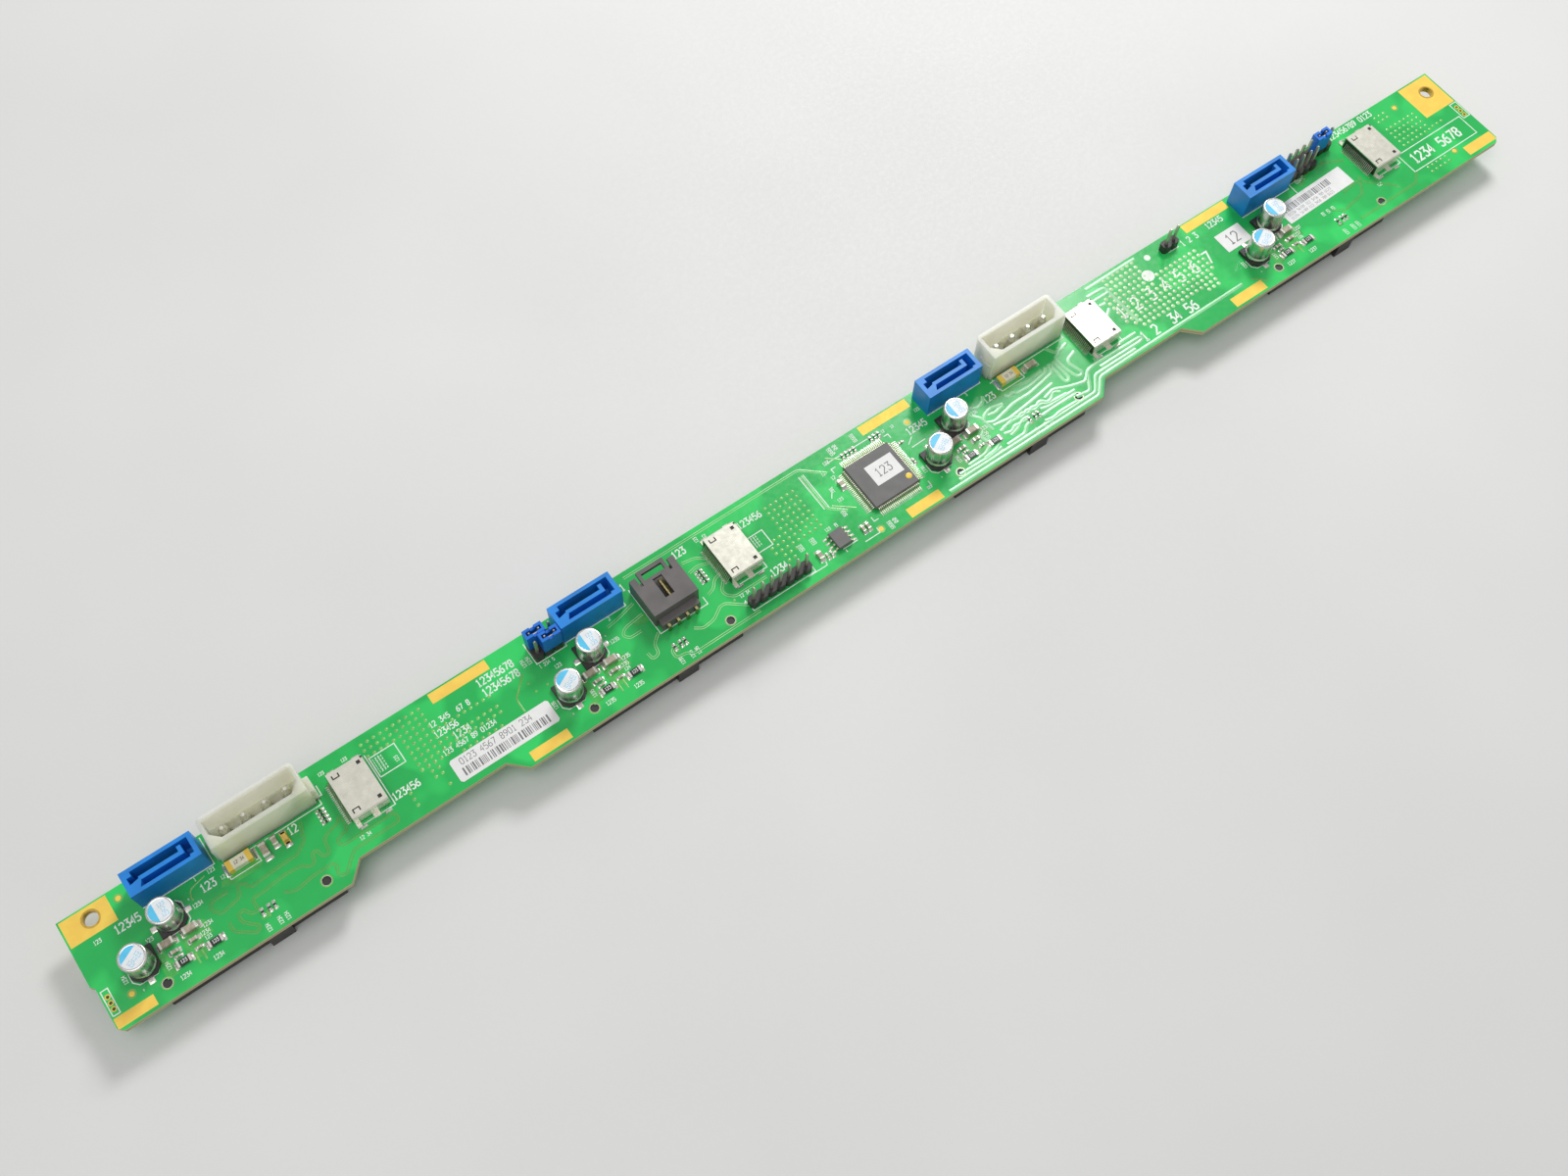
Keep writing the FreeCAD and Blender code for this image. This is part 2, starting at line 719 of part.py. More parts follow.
# ================================================================= capacitors
def capacitor_can():
    """Drawn can, narrower where it is rolled in above the base, with a rolled top edge."""
    round_wall = even_outline(can_diameter / 2, can_sides)
    neck = even_outline(can_diameter / 2 - can_neck_depth, can_sides)
    rim = even_outline(can_diameter / 2 - can_edge, can_sides)
    return flat_sided([(neck, can_base_height), (round_wall, can_neck_top),
                       (round_wall, can_height - can_edge), (rim, can_height)])


def capacitor_base():
    """Square foot, cut at the two corners beside the plus terminal at +X."""
    half = can_base_size / 2
    cut = half - can_base_cut
    outline = [(-half, -half), (cut, -half), (half, -cut), (half, cut), (cut, half), (-half, half)]
    groove = can_terminal_thickness
    base = prism(outline, 0, can_base_height)
    channel = block(-half, half, -can_terminal_width / 2, can_terminal_width / 2, 0, groove)
    return base.cut(channel)


def capacitor_terminals():
    """Two flat strips under the base, reaching out at either side."""
    half = can_base_size / 2
    strips = []
    for side in (-1, 1):
        x0, x1 = sorted((side * can_terminal_gap / 2, side * (half + can_terminal_reach)))
        strips.append(block(x0, x1, -can_terminal_width / 2, can_terminal_width / 2,
                            0, can_terminal_thickness))
    return strips


# ================================================================ pin headers
def header_pin():
    """Square pin, pointed at the top, with its tail through the board."""
    full = oblong(header_pin_size, header_pin_size)
    tip = oblong(header_pin_size / 2, header_pin_size / 2)
    return flat_sided([(full, -board_thickness - tail_length),
                       (full, header_pin_height - header_pin_point), (tip, header_pin_height)])


def header_base(columns, rows):
    """Strip of square cells with notched corners, bored for the pins."""
    half_x = columns * header_pitch / 2
    half_y = rows * header_pitch / 2
    base = block(-half_x, half_x, -half_y, half_y, 0, header_base_height)
    cut = header_base_cut
    notches = []
    for i in range(columns + 1):
        x = -half_x + i * header_pitch
        for side in (-1, 1):
            y = side * half_y
            notches.append(prism([(x - cut, y), (x, y - side * cut), (x + cut, y), (x, y + side * cut)],
                                 0, header_base_height))
    bores = [block(dx - header_pin_size / 2, dx + header_pin_size / 2,
                   dy - header_pin_size / 2, dy + header_pin_size / 2, 0, header_base_height)
             for dx in row(columns, header_pitch) for dy in row(rows, header_pitch)]
    return base.cut(notches + bores)


def jumper_cap():
    """Moulded cap over two pins, open at the top in the middle and at each pin."""
    length = 2 * header_pitch - jumper_gap
    width = header_pitch - jumper_gap
    body = centred_block(length, width, 0, jumper_height)
    hollow = centred_block(header_pitch + 2 * header_pin_size, header_pin_size + 2 * jumper_clip_thickness,
                           0, jumper_height)
    mouth = block(-jumper_end_slot / 2, jumper_end_slot / 2, -width / 2, width / 2,
                  jumper_height - jumper_wall, jumper_height)
    return body.cut([hollow, mouth])


def jumper_clip():
    """Bent strip that joins the two pins, pressed along the near side of both."""
    half = header_pitch / 2 + header_pin_size
    y0 = -header_pin_size / 2 - jumper_clip_thickness
    return block(-half, half, y0, -header_pin_size / 2, jumper_wall, jumper_height - jumper_wall)


# ========================================================== side entry header
def side_entry_housing():
    """Shroud lying on the board, mouth to the far edge, with a keyed roof.

    Drawn with its left side on X = 0 and the near face of the tall part on Y = 0.
    """
    body = block(0, side_width, 0, side_depth, 0, side_height)
    cavity = block(side_wall, side_width - side_wall, side_back_wall, side_depth,
                   side_wall, side_height - side_roof)
    step = block(side_step_inset, side_width - side_step_inset, -side_step_depth, 0,
                 0, side_step_height)
    middle = side_width / 2
    slot = block(middle - side_slot_width / 2, middle + side_slot_width / 2,
                 side_slot_from_step, side_slot_from_step + side_slot_length,
                 side_height - side_roof, side_height)
    latch = block(middle - side_latch_width / 2, middle + side_latch_width / 2,
                  side_depth, side_depth + side_latch_reach, side_height - side_roof, side_height)
    window_length, window_width = side_latch_window
    window = block(middle - window_length / 2, middle + window_length / 2,
                   side_depth - window_width, side_depth, side_height - side_roof, side_height)
    gap_width, gap_depth = side_latch_gap
    gaps = [block(x, x + gap_width, side_depth - gap_depth, side_depth,
                  side_height - side_roof, side_height)
            for x in (middle - side_latch_width / 2 - gap_width, middle + side_latch_width / 2)]
    bores = [block(x - header_pin_size / 2, x + header_pin_size / 2, -side_step_depth, side_back_wall,
                   side_pin_height - header_pin_size / 2, side_pin_height + header_pin_size / 2)
             for x in side_pins_in_housing()]
    return body.cut(cavity).fuse([step, latch]).cut([slot, window] + gaps + bores).removeSplitter()


def side_entry_pins():
    """Square pins that leave the step, turn down and pass through the board."""
    size = header_pin_size
    foot = side_pin_foot() - side_near_face
    top = side_pin_height + size / 2
    low = -board_thickness - tail_length
    point = side_depth - side_pin_short
    profile = [(point, top), (foot - size / 2, top), (foot - size / 2, low),
               (foot + size / 2, low), (foot + size / 2, top - size), (point, top - size)]
    return [bar_x(profile, x - size / 2, x + size / 2) for x in side_pins_in_housing()]


# ====================================================================== chips
def chip_body(length, width, height, stand_off, draft):
    """Moulded package: two tapered halves that meet at the parting line."""
    face = oblong(length - 2 * draft, width - 2 * draft)
    return flat_sided([(face, stand_off), (oblong(length, width), (height + stand_off) / 2),
                       (face, height)])


def chip_lead_profile(body_edge, span_edge, height, stand_off):
    """Section of a lead, sloping from the parting line down to its foot on the board."""
    middle = (height + stand_off) / 2
    return [(body_edge, middle + chip_lead_thickness), (span_edge, chip_lead_thickness),
            (span_edge, 0), (body_edge, middle)]


def chip_leads(count, pitch, width, profile, sides):
    """Leads along the chosen sides of a chip, the first side facing +X."""
    leads = []
    for turn in sides:
        for y in row(count, pitch):
            lead = bar_y(profile, y - width / 2, y + width / 2)
            lead.rotate(Vector(0, 0, 0), Vector(0, 0, 1), turn)
            leads.append(lead)
    return leads


# ============================================================ small parts
def two_ended(size):
    """Body and the two metal ends of a small surface part, along X."""
    length, width, height, end = size
    if not end:
        return centred_block(length, width, 0, height), []
    half = length / 2
    body = block(-half + end, half - end, -width / 2 + end_wrap, width / 2 - end_wrap,
                 end_wrap, height - end_wrap)
    ends = [block(-half, -half + end, -width / 2, width / 2, 0, height),
            block(half - end, half, -width / 2, width / 2, 0, height)]
    return body, ends


def capacitor_list():
    """Every small ceramic capacitor: along, across, turn, size."""
    places = [(from_bay(bay, offset), across, turn, size)
              for bay in range(bay_count) for offset, across, turn, size in bay_capacitors]
    places += [(from_bay(bay, offset), across, turn, size)
               for bay, offset, across, turn, size in other_capacitors]
    return places


def resistor_list():
    """Every small resistor: along, across, turn, size."""
    places = [(from_bay(bay, offset), across, turn, size)
              for bay in range(bay_count) for offset, across, turn, size in bay_resistors]
    for bay, offset in resistor_columns:
        for i in range(resistor_column_count):
            across = resistor_column_start + i * resistor_column_pitch
            places.append((from_bay(bay, offset), across, 0, size_0402))
    for bay, offset, count in chip_resistor_rows:
        for i in range(count):
            along = from_bay(bay, offset) + i * chip_resistor_pitch
            places.append((along, chip_resistor_across, 90, size_0402))
    return places


def save_two_ended(body_name, end_name, places):
    """Write the bodies and the metal ends of a list of small parts."""
    bodies = []
    all_ends = []
    for along, across, turn, size in places:
        body, ends = two_ended(size)
        bodies.append(placed(body, along, across, turn=turn))
        all_ends += [placed(end, along, across, turn=turn) for end in ends]
    save(body_name, bodies)
    save(end_name, all_ends)


def indicator_lamp():
    """Surface lamp: a flat base with a raised lens."""
    length, width, height = lamp_base
    lens_length, lens_width, lens_height = lamp_lens
    base = centred_block(length, width, 0, height)
    lens = flat_sided([(oblong(lens_length, lens_width), height),
                       (oblong(lens_length - lamp_lens_draft, lens_width - lamp_lens_draft),
                        height + lens_height)])
    return base.fuse(lens)


def paper_label(length, width, corner):
    """Thin sheet, square or with its corners cut."""
    if not corner:
        return centred_block(length, width, 0, label_thickness)
    x = length / 2
    y = width / 2
    return prism([(-x + corner, -y), (x - corner, -y), (x, -y + corner), (x, y - corner),
                  (x - corner, y), (-x + corner, y), (-x, y - corner), (-x, -y + corner)],
                 0, label_thickness)


# ================================================================= all nodes
def save_connectors():
    data_contact_solids = []
    for bay in range(bay_count):
        number = str(bay + 1)
        middle = from_bay(bay)
        save("data_connector_housing_" + number, [placed(data_connector_housing(), middle, data_across)])
        data_contact_solids += [placed(contact, middle, data_across) for contact in data_contacts()]
        drive_along = from_bay(bay, drive_offset)
        save("drive_connector_housing_" + number,
             [placed(drive_connector_housing(), drive_along, drive_near_face, 0)])
        save("drive_connector_contacts_" + number,
             [placed(contact, drive_along, drive_near_face, 0) for contact in drive_contacts()])
        along = from_bay(bay, cable_offsets[bay])
        save("cable_connector_shell_" + number, [placed(cable_connector_shell(), along, cable_near_face)])
        save("cable_connector_body_" + number, [placed(cable_connector_body(), along, cable_near_face)])
        save("cable_connector_leads_" + number,
             [placed(lead, along, cable_near_face) for lead in cable_connector_leads()])
    save("data_connector_contacts", data_contact_solids)
    for number, place in enumerate(power_places, 1):
        along = from_bay(*place)
        save("power_connector_housing_" + str(number),
             [placed(power_connector_housing(), along, power_near_face)])
        save("power_connector_pins_" + str(number),
             [placed(power_pin(), along + step, power_near_face + power_depth / 2)
              for step in row(power_pin_count, power_pin_pitch)])


def save_capacitors():
    cans = []
    bases = []
    terminals = []
    for bay in range(bay_count):
        for offset, across, turn in can_places:
            along = from_bay(bay, offset)
            cans.append(placed(capacitor_can(), along, across, turn=turn))
            bases.append(placed(capacitor_base(), along, across, turn=turn))
            terminals += [placed(strip, along, across, turn=turn) for strip in capacitor_terminals()]
    save("capacitor_cans", cans)
    save("capacitor_bases", bases)
    save("capacitor_terminals", terminals)


def save_headers():
    headers = (("programming_header", programming_header), ("selector_header", selector_header),
               ("test_header", test_header), ("signal_header", signal_header),
               ("reset_header", reset_header))
    for name, header in headers:
        columns, rows = header[3:]
        save(name + "_base", [placed(header_base(columns, rows), *on_board(header[:3]))])
        save(name + "_pins", [placed(header_pin(), *pin) for pin in header_pins_at(header)])
    selector_pins = header_pins_at(selector_header)
    reset_pins = header_pins_at(reset_header)
    # near row: the two right pins; far row: the two left pins; reset header: the two left pins
    bridged = (selector_pins[1:3], selector_pins[3:5], reset_pins[0:2])
    caps = []
    clips = []
    seat = board_thickness + header_base_height + jumper_stand
    for first, second in bridged:
        middle = ((first[0] + second[0]) / 2, first[1])
        caps.append(placed(jumper_cap(), *middle, seat))
        clips.append(placed(jumper_clip(), *middle, seat))
    save("jumper_caps", caps)
    save("jumper_clips", clips)
    along = from_bay(*side_place)
    save("side_entry_header_housing", [placed(side_entry_housing(), along, side_near_face)])
    save("side_entry_header_pins", [placed(pin, along, side_near_face) for pin in side_entry_pins()])


def save_chips():
    body = chip_body(controller_body, controller_body, controller_height, controller_stand_off,
                     controller_draft)
    profile = chip_lead_profile(controller_body / 2, controller_lead_span / 2, controller_height,
                                controller_stand_off)
    leads = chip_leads(controller_lead_count, controller_lead_pitch, controller_lead_width, profile,
                       (0, 90, 180, 270))
    save("controller_chip_body", [placed(body, *on_board(controller_place))])
    save("controller_chip_leads", [placed(lead, *on_board(controller_place)) for lead in leads])
    body = chip_body(*memory_body, memory_height, memory_stand_off, memory_draft)
    profile = chip_lead_profile(memory_body[0] / 2, memory_lead_span / 2, memory_height,
                                memory_stand_off)
    leads = chip_leads(memory_lead_count, memory_lead_pitch, memory_lead_width, profile, (0, 180))
    save("memory_chip_body", [placed(body, *on_board(memory_place))])
    save("memory_chip_leads", [placed(lead, *on_board(memory_place)) for lead in leads])


def save_small_parts():
    save_two_ended("chip_capacitor_bodies", "chip_capacitor_ends", capacitor_list())
    save_two_ended("chip_resistor_bodies", "chip_resistor_ends", resistor_list())
    save_two_ended("fuse_bodies", "fuse_end_caps",
                   [(*on_board(place), 0, size_fuse) for place in fuse_places])
    save("indicator_lamp", [placed(indicator_lamp(), *on_board(lamp_place))])
    sheets = [placed(paper_label(length, width, corner), from_bay(bay, offset), across, turn=turn)
              for bay, offset, across, length, width, corner, turn in labels]
    along, across = on_board(controller_place)
    shift_along, shift_across = chip_label_shift
    sheets.append(placed(paper_label(*chip_label, 0), along + shift_along, across + shift_across,
                         board_thickness + controller_height))
    save("paper_labels", sheets)


def main():
    os.makedirs("parts", exist_ok=True)
    save("circuit_board", circuit_board())
    save_connectors()
    save_capacitors()
    save_headers()
    save_chips()
    save_small_parts()


main()
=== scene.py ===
import json
import math
import random

import bpy
from bpy.props import FloatProperty, FloatVectorProperty, PointerProperty
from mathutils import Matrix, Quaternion, Vector


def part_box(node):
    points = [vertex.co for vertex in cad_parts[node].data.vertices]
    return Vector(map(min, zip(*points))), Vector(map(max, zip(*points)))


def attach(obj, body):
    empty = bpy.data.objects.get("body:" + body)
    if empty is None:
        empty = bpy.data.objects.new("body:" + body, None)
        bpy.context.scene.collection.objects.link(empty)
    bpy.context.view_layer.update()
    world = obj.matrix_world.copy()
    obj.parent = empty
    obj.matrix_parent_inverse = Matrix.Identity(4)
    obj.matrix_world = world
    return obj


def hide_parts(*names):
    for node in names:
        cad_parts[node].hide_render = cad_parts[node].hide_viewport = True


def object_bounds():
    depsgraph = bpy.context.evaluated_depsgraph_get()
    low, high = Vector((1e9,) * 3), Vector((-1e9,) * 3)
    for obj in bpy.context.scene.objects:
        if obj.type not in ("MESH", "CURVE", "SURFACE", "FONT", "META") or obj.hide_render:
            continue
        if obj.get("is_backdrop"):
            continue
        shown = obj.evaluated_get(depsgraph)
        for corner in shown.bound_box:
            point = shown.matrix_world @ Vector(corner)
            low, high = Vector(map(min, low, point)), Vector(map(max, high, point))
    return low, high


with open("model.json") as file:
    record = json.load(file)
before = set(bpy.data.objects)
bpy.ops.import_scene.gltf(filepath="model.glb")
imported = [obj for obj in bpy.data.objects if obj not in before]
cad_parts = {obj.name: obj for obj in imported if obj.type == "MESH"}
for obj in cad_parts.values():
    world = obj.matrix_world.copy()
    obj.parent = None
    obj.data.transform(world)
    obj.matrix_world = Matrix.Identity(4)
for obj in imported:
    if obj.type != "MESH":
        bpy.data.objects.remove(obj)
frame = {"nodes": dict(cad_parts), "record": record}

bl_info = {
    "name": "Drive backplane board",
    "version": (1, 0, 0),
    "blender": (4, 5, 0),
    "location": "View3D > Sidebar > Backplane",
    "description": "Finishes, copper, print, solder and studio for a four bay drive backplane",
    "category": "Object",
}

# Lengths are in millimetres; only the stage and the record's mounts are in metres.
# "along" runs from the board's left end, "across" from its near edge and "up" from
# its component side.
MM = 0.001
BOARD_LOW, BOARD_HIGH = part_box("circuit_board")
THICKNESS = (BOARD_HIGH.z - BOARD_LOW.z) / MM
LENGTH = (BOARD_HIGH.x - BOARD_LOW.x) / MM


def to_scene(point):
    """Metres in the scene from board millimetres."""
    along, across, up = point
    return (BOARD_LOW.x + along * MM, BOARD_LOW.y + across * MM, BOARD_HIGH.z + up * MM)


def to_board(point):
    """Board millimetres from metres in the scene."""
    x, y, z = point
    return ((x - BOARD_LOW.x) / MM, (y - BOARD_LOW.y) / MM, (z - BOARD_HIGH.z) / MM)


def node_box(node):
    """Lowest and highest corner of a CAD node, in board millimetres."""
    low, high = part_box(node)
    return to_board(low), to_board(high)


def middle(box):
    return [(a + b) / 2 for a, b in zip(*box)]


def solids_of(node, below=math.inf):
    """Boxes of a node's separate solids from left to right, or of what each has below a height."""
    mesh = frame["nodes"][node].data
    numbers = {}
    link = []

    def leader(i):
        while link[i] != i:
            link[i] = link[link[i]]
            i = link[i]
        return i

    own = []
    for vertex in mesh.vertices:
        key = tuple(round(c, 6) for c in vertex.co)
        if key not in numbers:
            numbers[key] = len(link)
            link.append(len(link))
        own.append(numbers[key])
    for face in mesh.polygons:
        first = leader(own[face.vertices[0]])
        for corner in face.vertices[1:]:
            link[leader(own[corner])] = first
    groups = {}
    for key, number in numbers.items():
        groups.setdefault(leader(number), []).append(to_board(key))
    groups = [[p for p in points if p[2] <= below] for points in groups.values()]
    boxes = [([min(c) for c in zip(*points)], [max(c) for c in zip(*points)])
             for points in groups if points]
    return sorted(boxes, key=lambda box: (round(box[0][0], 2), box[0][1]))


BAYS = [middle(node_box(f"data_connector_housing_{i}"))[0] for i in (1, 2, 3, 4)]


# ------------------------------------------------------------------ settings
def colour(name, description, red, green, blue):
    """Colour setting, given as it looks on a screen, 0 to 255."""
    return FloatVectorProperty(name=name, description=description, subtype="COLOR_GAMMA", size=3,
                               min=0, max=1, default=(red / 255, green / 255, blue / 255))


def length(name, description, default):
    """Length setting in millimetres."""
    return FloatProperty(name=name, description=description, default=default, min=0)


class BackplaneColours(bpy.types.PropertyGroup):
    mask: colour("Mask over copper", "Solder mask where copper lies under it", 46, 191, 93)
    mask_deep: colour("Mask over laminate", "Mask where the copper is etched away", 16, 160, 74)
    track: colour("Track edge", "Mask over the edges of a track", 126, 138, 58)
    tented: colour("Covered via", "Mask over the pads of a via", 110, 182, 76)
    # Partly painted highlight: paler than the mask and used only on bay 2's swellings, where the
    # key light's glare falls; the glossy coat is real
    ridge: colour("Ridge", "Mask over the raised track pairs", 104, 204, 132)
    # Painted highlight: a pale colour that stands in for the key light's glare on track edges and
    # vias; their own colours are those of track and tented
    pale_track: colour("Pale track", "Track edges and vias that catch the light", 192, 220, 168)
    brass: colour("Brass", "Blades of the side entry connector", 156, 146, 104)
    patch: colour("Copper patch", "Mask over small copper areas near the parts", 74, 182, 84)
    laminate: colour("Laminate", "Glass laminate at the board's cut edges", 200, 192, 146)
    gold: colour("Gold", "Gold plated pads and pins", 255, 211, 98)
    tin: colour("Solder", "Solder and tin plating", 216, 213, 204)
    pin: colour("Header pin", "Dull plating on the header pins", 192, 188, 172)
    lead: colour("Chip lead", "Plating on chip leads", 196, 194, 172)
    print_white: colour("Print", "White printed lines and numbers", 238, 246, 236)
    data_blue: colour("Data connector", "Blue moulding", 22, 132, 220)
    power_cream: colour("Power connector", "Translucent cream moulding", 228, 227, 198)
    jumper: colour("Jumper cap", "Blue jumper caps", 18, 112, 214)
    black: colour("Black moulding", "Drive connectors and headers", 44, 42, 41)
    grey: colour("Grey moulding", "Side entry connector", 98, 94, 93)
    chip: colour("Chip", "Matt moulding compound", 106, 105, 104)
    shell: colour("Shell", "Nickel plated sheet", 226, 224, 210)
    can: colour("Can", "Drawn aluminium", 208, 208, 204)
    can_top: colour("Can lacquer", "White print on a capacitor's top", 236, 240, 242)
    can_mark: colour("Can mark", "Segment over the minus terminal", 92, 200, 240)
    ceramic: colour("Ceramic", "Small capacitors", 172, 162, 142)
    resistor: colour("Resistor", "Glazed resistor bodies", 38, 36, 36)
    fuse: colour("Fuse", "Fuse bodies", 240, 234, 210)
    lamp: colour("Lamp", "Indicator lens", 246, 196, 92)
    paper: colour("Paper", "Labels", 238, 238, 236)
    ink: colour("Ink", "Print on the labels", 120, 120, 122)


class BackplaneSizes(bpy.types.PropertyGroup):
    track_width: length("Track edge width", "Width of the etched line beside a track", 0.16)
    track_pair: length("Track pair", "Distance between the two lines of a track pair", 0.5)
    track_height: length("Track height", "Height of a track under the mask", 0.03)
    ridge_width: length("Ridge width", "Width of the swelling of the mask over a track pair", 1.15)
    ridge_height: length("Ridge height", "Height of that swelling", 0.07)
    via_size: length("Via pad", "Diameter of a covered via pad", 0.9)
    via_height: length("Via height", "Rise of the mask over a via", 0.11)
    via_pitch: length("Via pitch", "Distance between the vias of a field", 1.65)
    print_width: length("Print line", "Width of a printed line", 0.25)
    print_height: length("Print height", "Thickness of the white ink", 0.02)
    plating: length("Plating", "Thickness of bare gold above the mask", 0.03)


class BackplaneStage(bpy.types.PropertyGroup):
    floor: colour("Floor", "Plain pale floor", 226, 226, 224)
    world: FloatProperty(name="Surroundings", description="Light from the room", default=0.37,
                         min=0)
    mirrored: FloatProperty(name="Mirrored room", default=0.58, min=0,
                            description="Brightness that glossy surfaces show")
    key: FloatProperty(name="Key light", description="Softbox beyond the right end", default=4.1,
                       min=0, unit="POWER")
    fill: FloatProperty(name="Fill light", description="Softbox over the left end", default=2.5,
                        min=0, unit="POWER")
    lens: FloatProperty(name="Lens", description="Focal length in millimetres", default=37.9, min=1)
    eye: FloatVectorProperty(name="Camera", description="Where the camera stands", subtype="XYZ",
                             unit="LENGTH", default=(0.0620, -0.1524, 0.3545))
    aim: FloatVectorProperty(name="Aim", description="Point the camera looks at", subtype="XYZ",
                             unit="LENGTH", default=(0.1675, -0.0217, 0.0))
    roll: FloatProperty(name="Roll", description="Turn of the camera about its own axis",
                        subtype="ANGLE", default=math.radians(3.3))


def colours():
    return bpy.context.scene.backplane_colours


def sizes():
    return bpy.context.scene.backplane_sizes


# ------------------------------------------------------------------ finishes
def linear(shade):
    """Scene-linear colour with alpha from a colour as seen on a screen."""
    return [c / 12.92 if c < 0.04045 else ((c + 0.055) / 1.055) ** 2.4 for c in shade] + [1]


def scaled(shade, factor):
    return [min(1, c * factor) for c in shade]


class Finish:
    """A material under construction, with its pattern nodes."""

    def __init__(self, name, shade, roughness, metallic=0.0):
        self.material = bpy.data.materials.new(name)
        self.material.use_nodes = True
        self.tree = self.material.node_tree
        self.shader = self.tree.nodes["Principled BSDF"]
        self.shader.inputs["Base Color"].default_value = linear(shade)
        self.shader.inputs["Roughness"].default_value = roughness
        self.shader.inputs["Metallic"].default_value = metallic
        self.material.diffuse_color = linear(shade)
        self.spot = self.tree.nodes.new("ShaderNodeTexCoord").outputs["Object"]

    def node(self, kind, **values):
        made = self.tree.nodes.new("ShaderNode" + kind)
        for name, value in values.items():
            setattr(made, name, value)
        return made

    def feed(self, value, socket):
        """Link a socket or set a plain value."""
        if isinstance(value, bpy.types.NodeSocket):
            self.tree.links.new(value, socket)
        else:
            socket.default_value = value

    def noise(self, size_mm, detail=3.0, stretch=(1, 1, 1)):
        """Cloudy pattern whose patches are about this size."""
        mapping = self.node("Mapping")
        mapping.inputs["Scale"].default_value = stretch
        self.feed(self.spot, mapping.inputs["Vector"])
        made = self.node("TexNoise")
        made.inputs["Scale"].default_value = 1 / (size_mm * MM)
        made.inputs["Detail"].default_value = detail
        self.feed(mapping.outputs["Vector"], made.inputs["Vector"])
        return made.outputs["Fac"]

    def waves(self, pitch_mm, direction):
        made = self.node("TexWave", bands_direction=direction)
        made.inputs["Scale"].default_value = 1 / (pitch_mm * MM * 20)
        self.feed(self.spot, made.inputs["Vector"])
        return made.outputs["Fac"]

    def ranged(self, value, from_low, from_high, low, high):
        made = self.node("MapRange")
        for name, number in (("From Min", from_low), ("From Max", from_high),
                             ("To Min", low), ("To Max", high)):
            made.inputs[name].default_value = number
        self.feed(value, made.inputs["Value"])
        return made.outputs["Result"]

    def mixed(self, factor, first, second):
        made = self.node("Mix", data_type="RGBA")
        self.feed(factor, made.inputs[0])
        self.feed(first, made.inputs[6])
        self.feed(second, made.inputs[7])
        return made.outputs[2]

    def shades(self, factor, shade, low, high):
        """Between two strengths of one colour."""
        return self.mixed(factor, linear(scaled(shade, low)), linear(scaled(shade, high)))

    def combined(self, operation, first, second):
        made = self.node("Math", operation=operation)
        self.feed(first, made.inputs[0])
        self.feed(second, made.inputs[1])
        return made.outputs[0]

    def facing_up(self):
        """1 on level faces, 0 on upright ones."""
        geometry = self.node("NewGeometry")
        split = self.node("SeparateXYZ")
        self.feed(geometry.outputs["Normal"], split.inputs[0])
        return self.ranged(self.combined("ABSOLUTE", split.outputs["Z"], 0.0), 0.4, 0.6, 0.0, 1.0)

    def set_bump(self, height, depth_mm, strength=1.0):
        made = self.node("Bump")
        made.inputs["Strength"].default_value = strength
        made.inputs["Distance"].default_value = depth_mm * MM
        self.feed(height, made.inputs["Height"])
        self.feed(made.outputs["Normal"], self.shader.inputs["Normal"])

    def set_colour(self, value):
        self.feed(value, self.shader.inputs["Base Color"])

    def set_roughness(self, value):
        self.feed(value, self.shader.inputs["Roughness"])

    def set_plain(self, **values):
        """Constants on the shader's own sockets, such as coat_weight=0.3."""
        for name, value in values.items():
            title = name.replace("_", " ").title()
            self.shader.inputs[title.replace("Specular", "Specular IOR")].default_value = value


def clouded(name, shade, roughness, metallic=0.0, cloud_mm=6.0, spread=0.08, grain_mm=0.08,
            grain_depth_mm=0.004, rough_spread=0.08, stretch=(1, 1, 1), **plain):
    """Finish with slow drifts of shade, a fine grain in its relief and uneven gloss."""
    made = Finish(name, shade, roughness, metallic)
    slow = made.ranged(made.noise(cloud_mm, 4.0), 0.3, 0.7, 0.0, 1.0)
    made.set_colour(made.shades(slow, shade, 1 - spread, 1 + spread))
    grain = made.noise(grain_mm, 2.0, stretch)
    made.set_roughness(made.ranged(grain, 0.3, 0.7, max(0.02, roughness - rough_spread),
                                   roughness + rough_spread))
    made.set_bump(grain, grain_depth_mm)
    made.set_plain(**plain)
    return made.material


def mask_finish():
    """Green solder mask: copper areas, etched areas, glass weave and a glossy, wavy skin."""
    c = colours()
    made = Finish("solder_mask", c.mask, 0.3)
    areas = made.ranged(made.noise(16.0, 2.0), 0.42, 0.5, 0.0, 1.0)
    drift = made.ranged(made.noise(45.0, 2.0), 0.35, 0.65, 0.0, 1.0)
    copper = made.shades(drift, c.mask, 1.15, 1.06)
    green = made.mixed(made.combined("MULTIPLY", areas, 0.55), copper, linear(c.mask_deep))
    weave = made.combined("MULTIPLY", made.waves(0.9, "X"), made.waves(0.9, "Y"))
    threads = linear(scaled(c.mask_deep, 0.8))
    green = made.mixed(made.combined("MULTIPLY", weave, 0.06), green, threads)
    layers = made.ranged(made.waves(0.22, "Z"), 0.2, 0.8, 0.0, 1.0)
    fray = made.noise(0.4, 4.0, (1, 1, 3))
    edge = made.shades(made.combined("MULTIPLY", layers, fray), c.laminate, 1, 0.72)
    level = made.facing_up()
    made.set_colour(made.mixed(level, edge, green))
    skin = made.noise(1.4, 3.0)
    gloss = made.ranged(skin, 0.3, 0.7, 0.17, 0.25)
    rough = made.combined("MAXIMUM", gloss, made.ranged(level, 0.0, 1.0, 0.75, 0.0))
    made.set_roughness(rough)
    made.set_bump(made.combined("ADD", skin, made.combined("MULTIPLY", weave, 0.4)), 0.008)
    return made.material


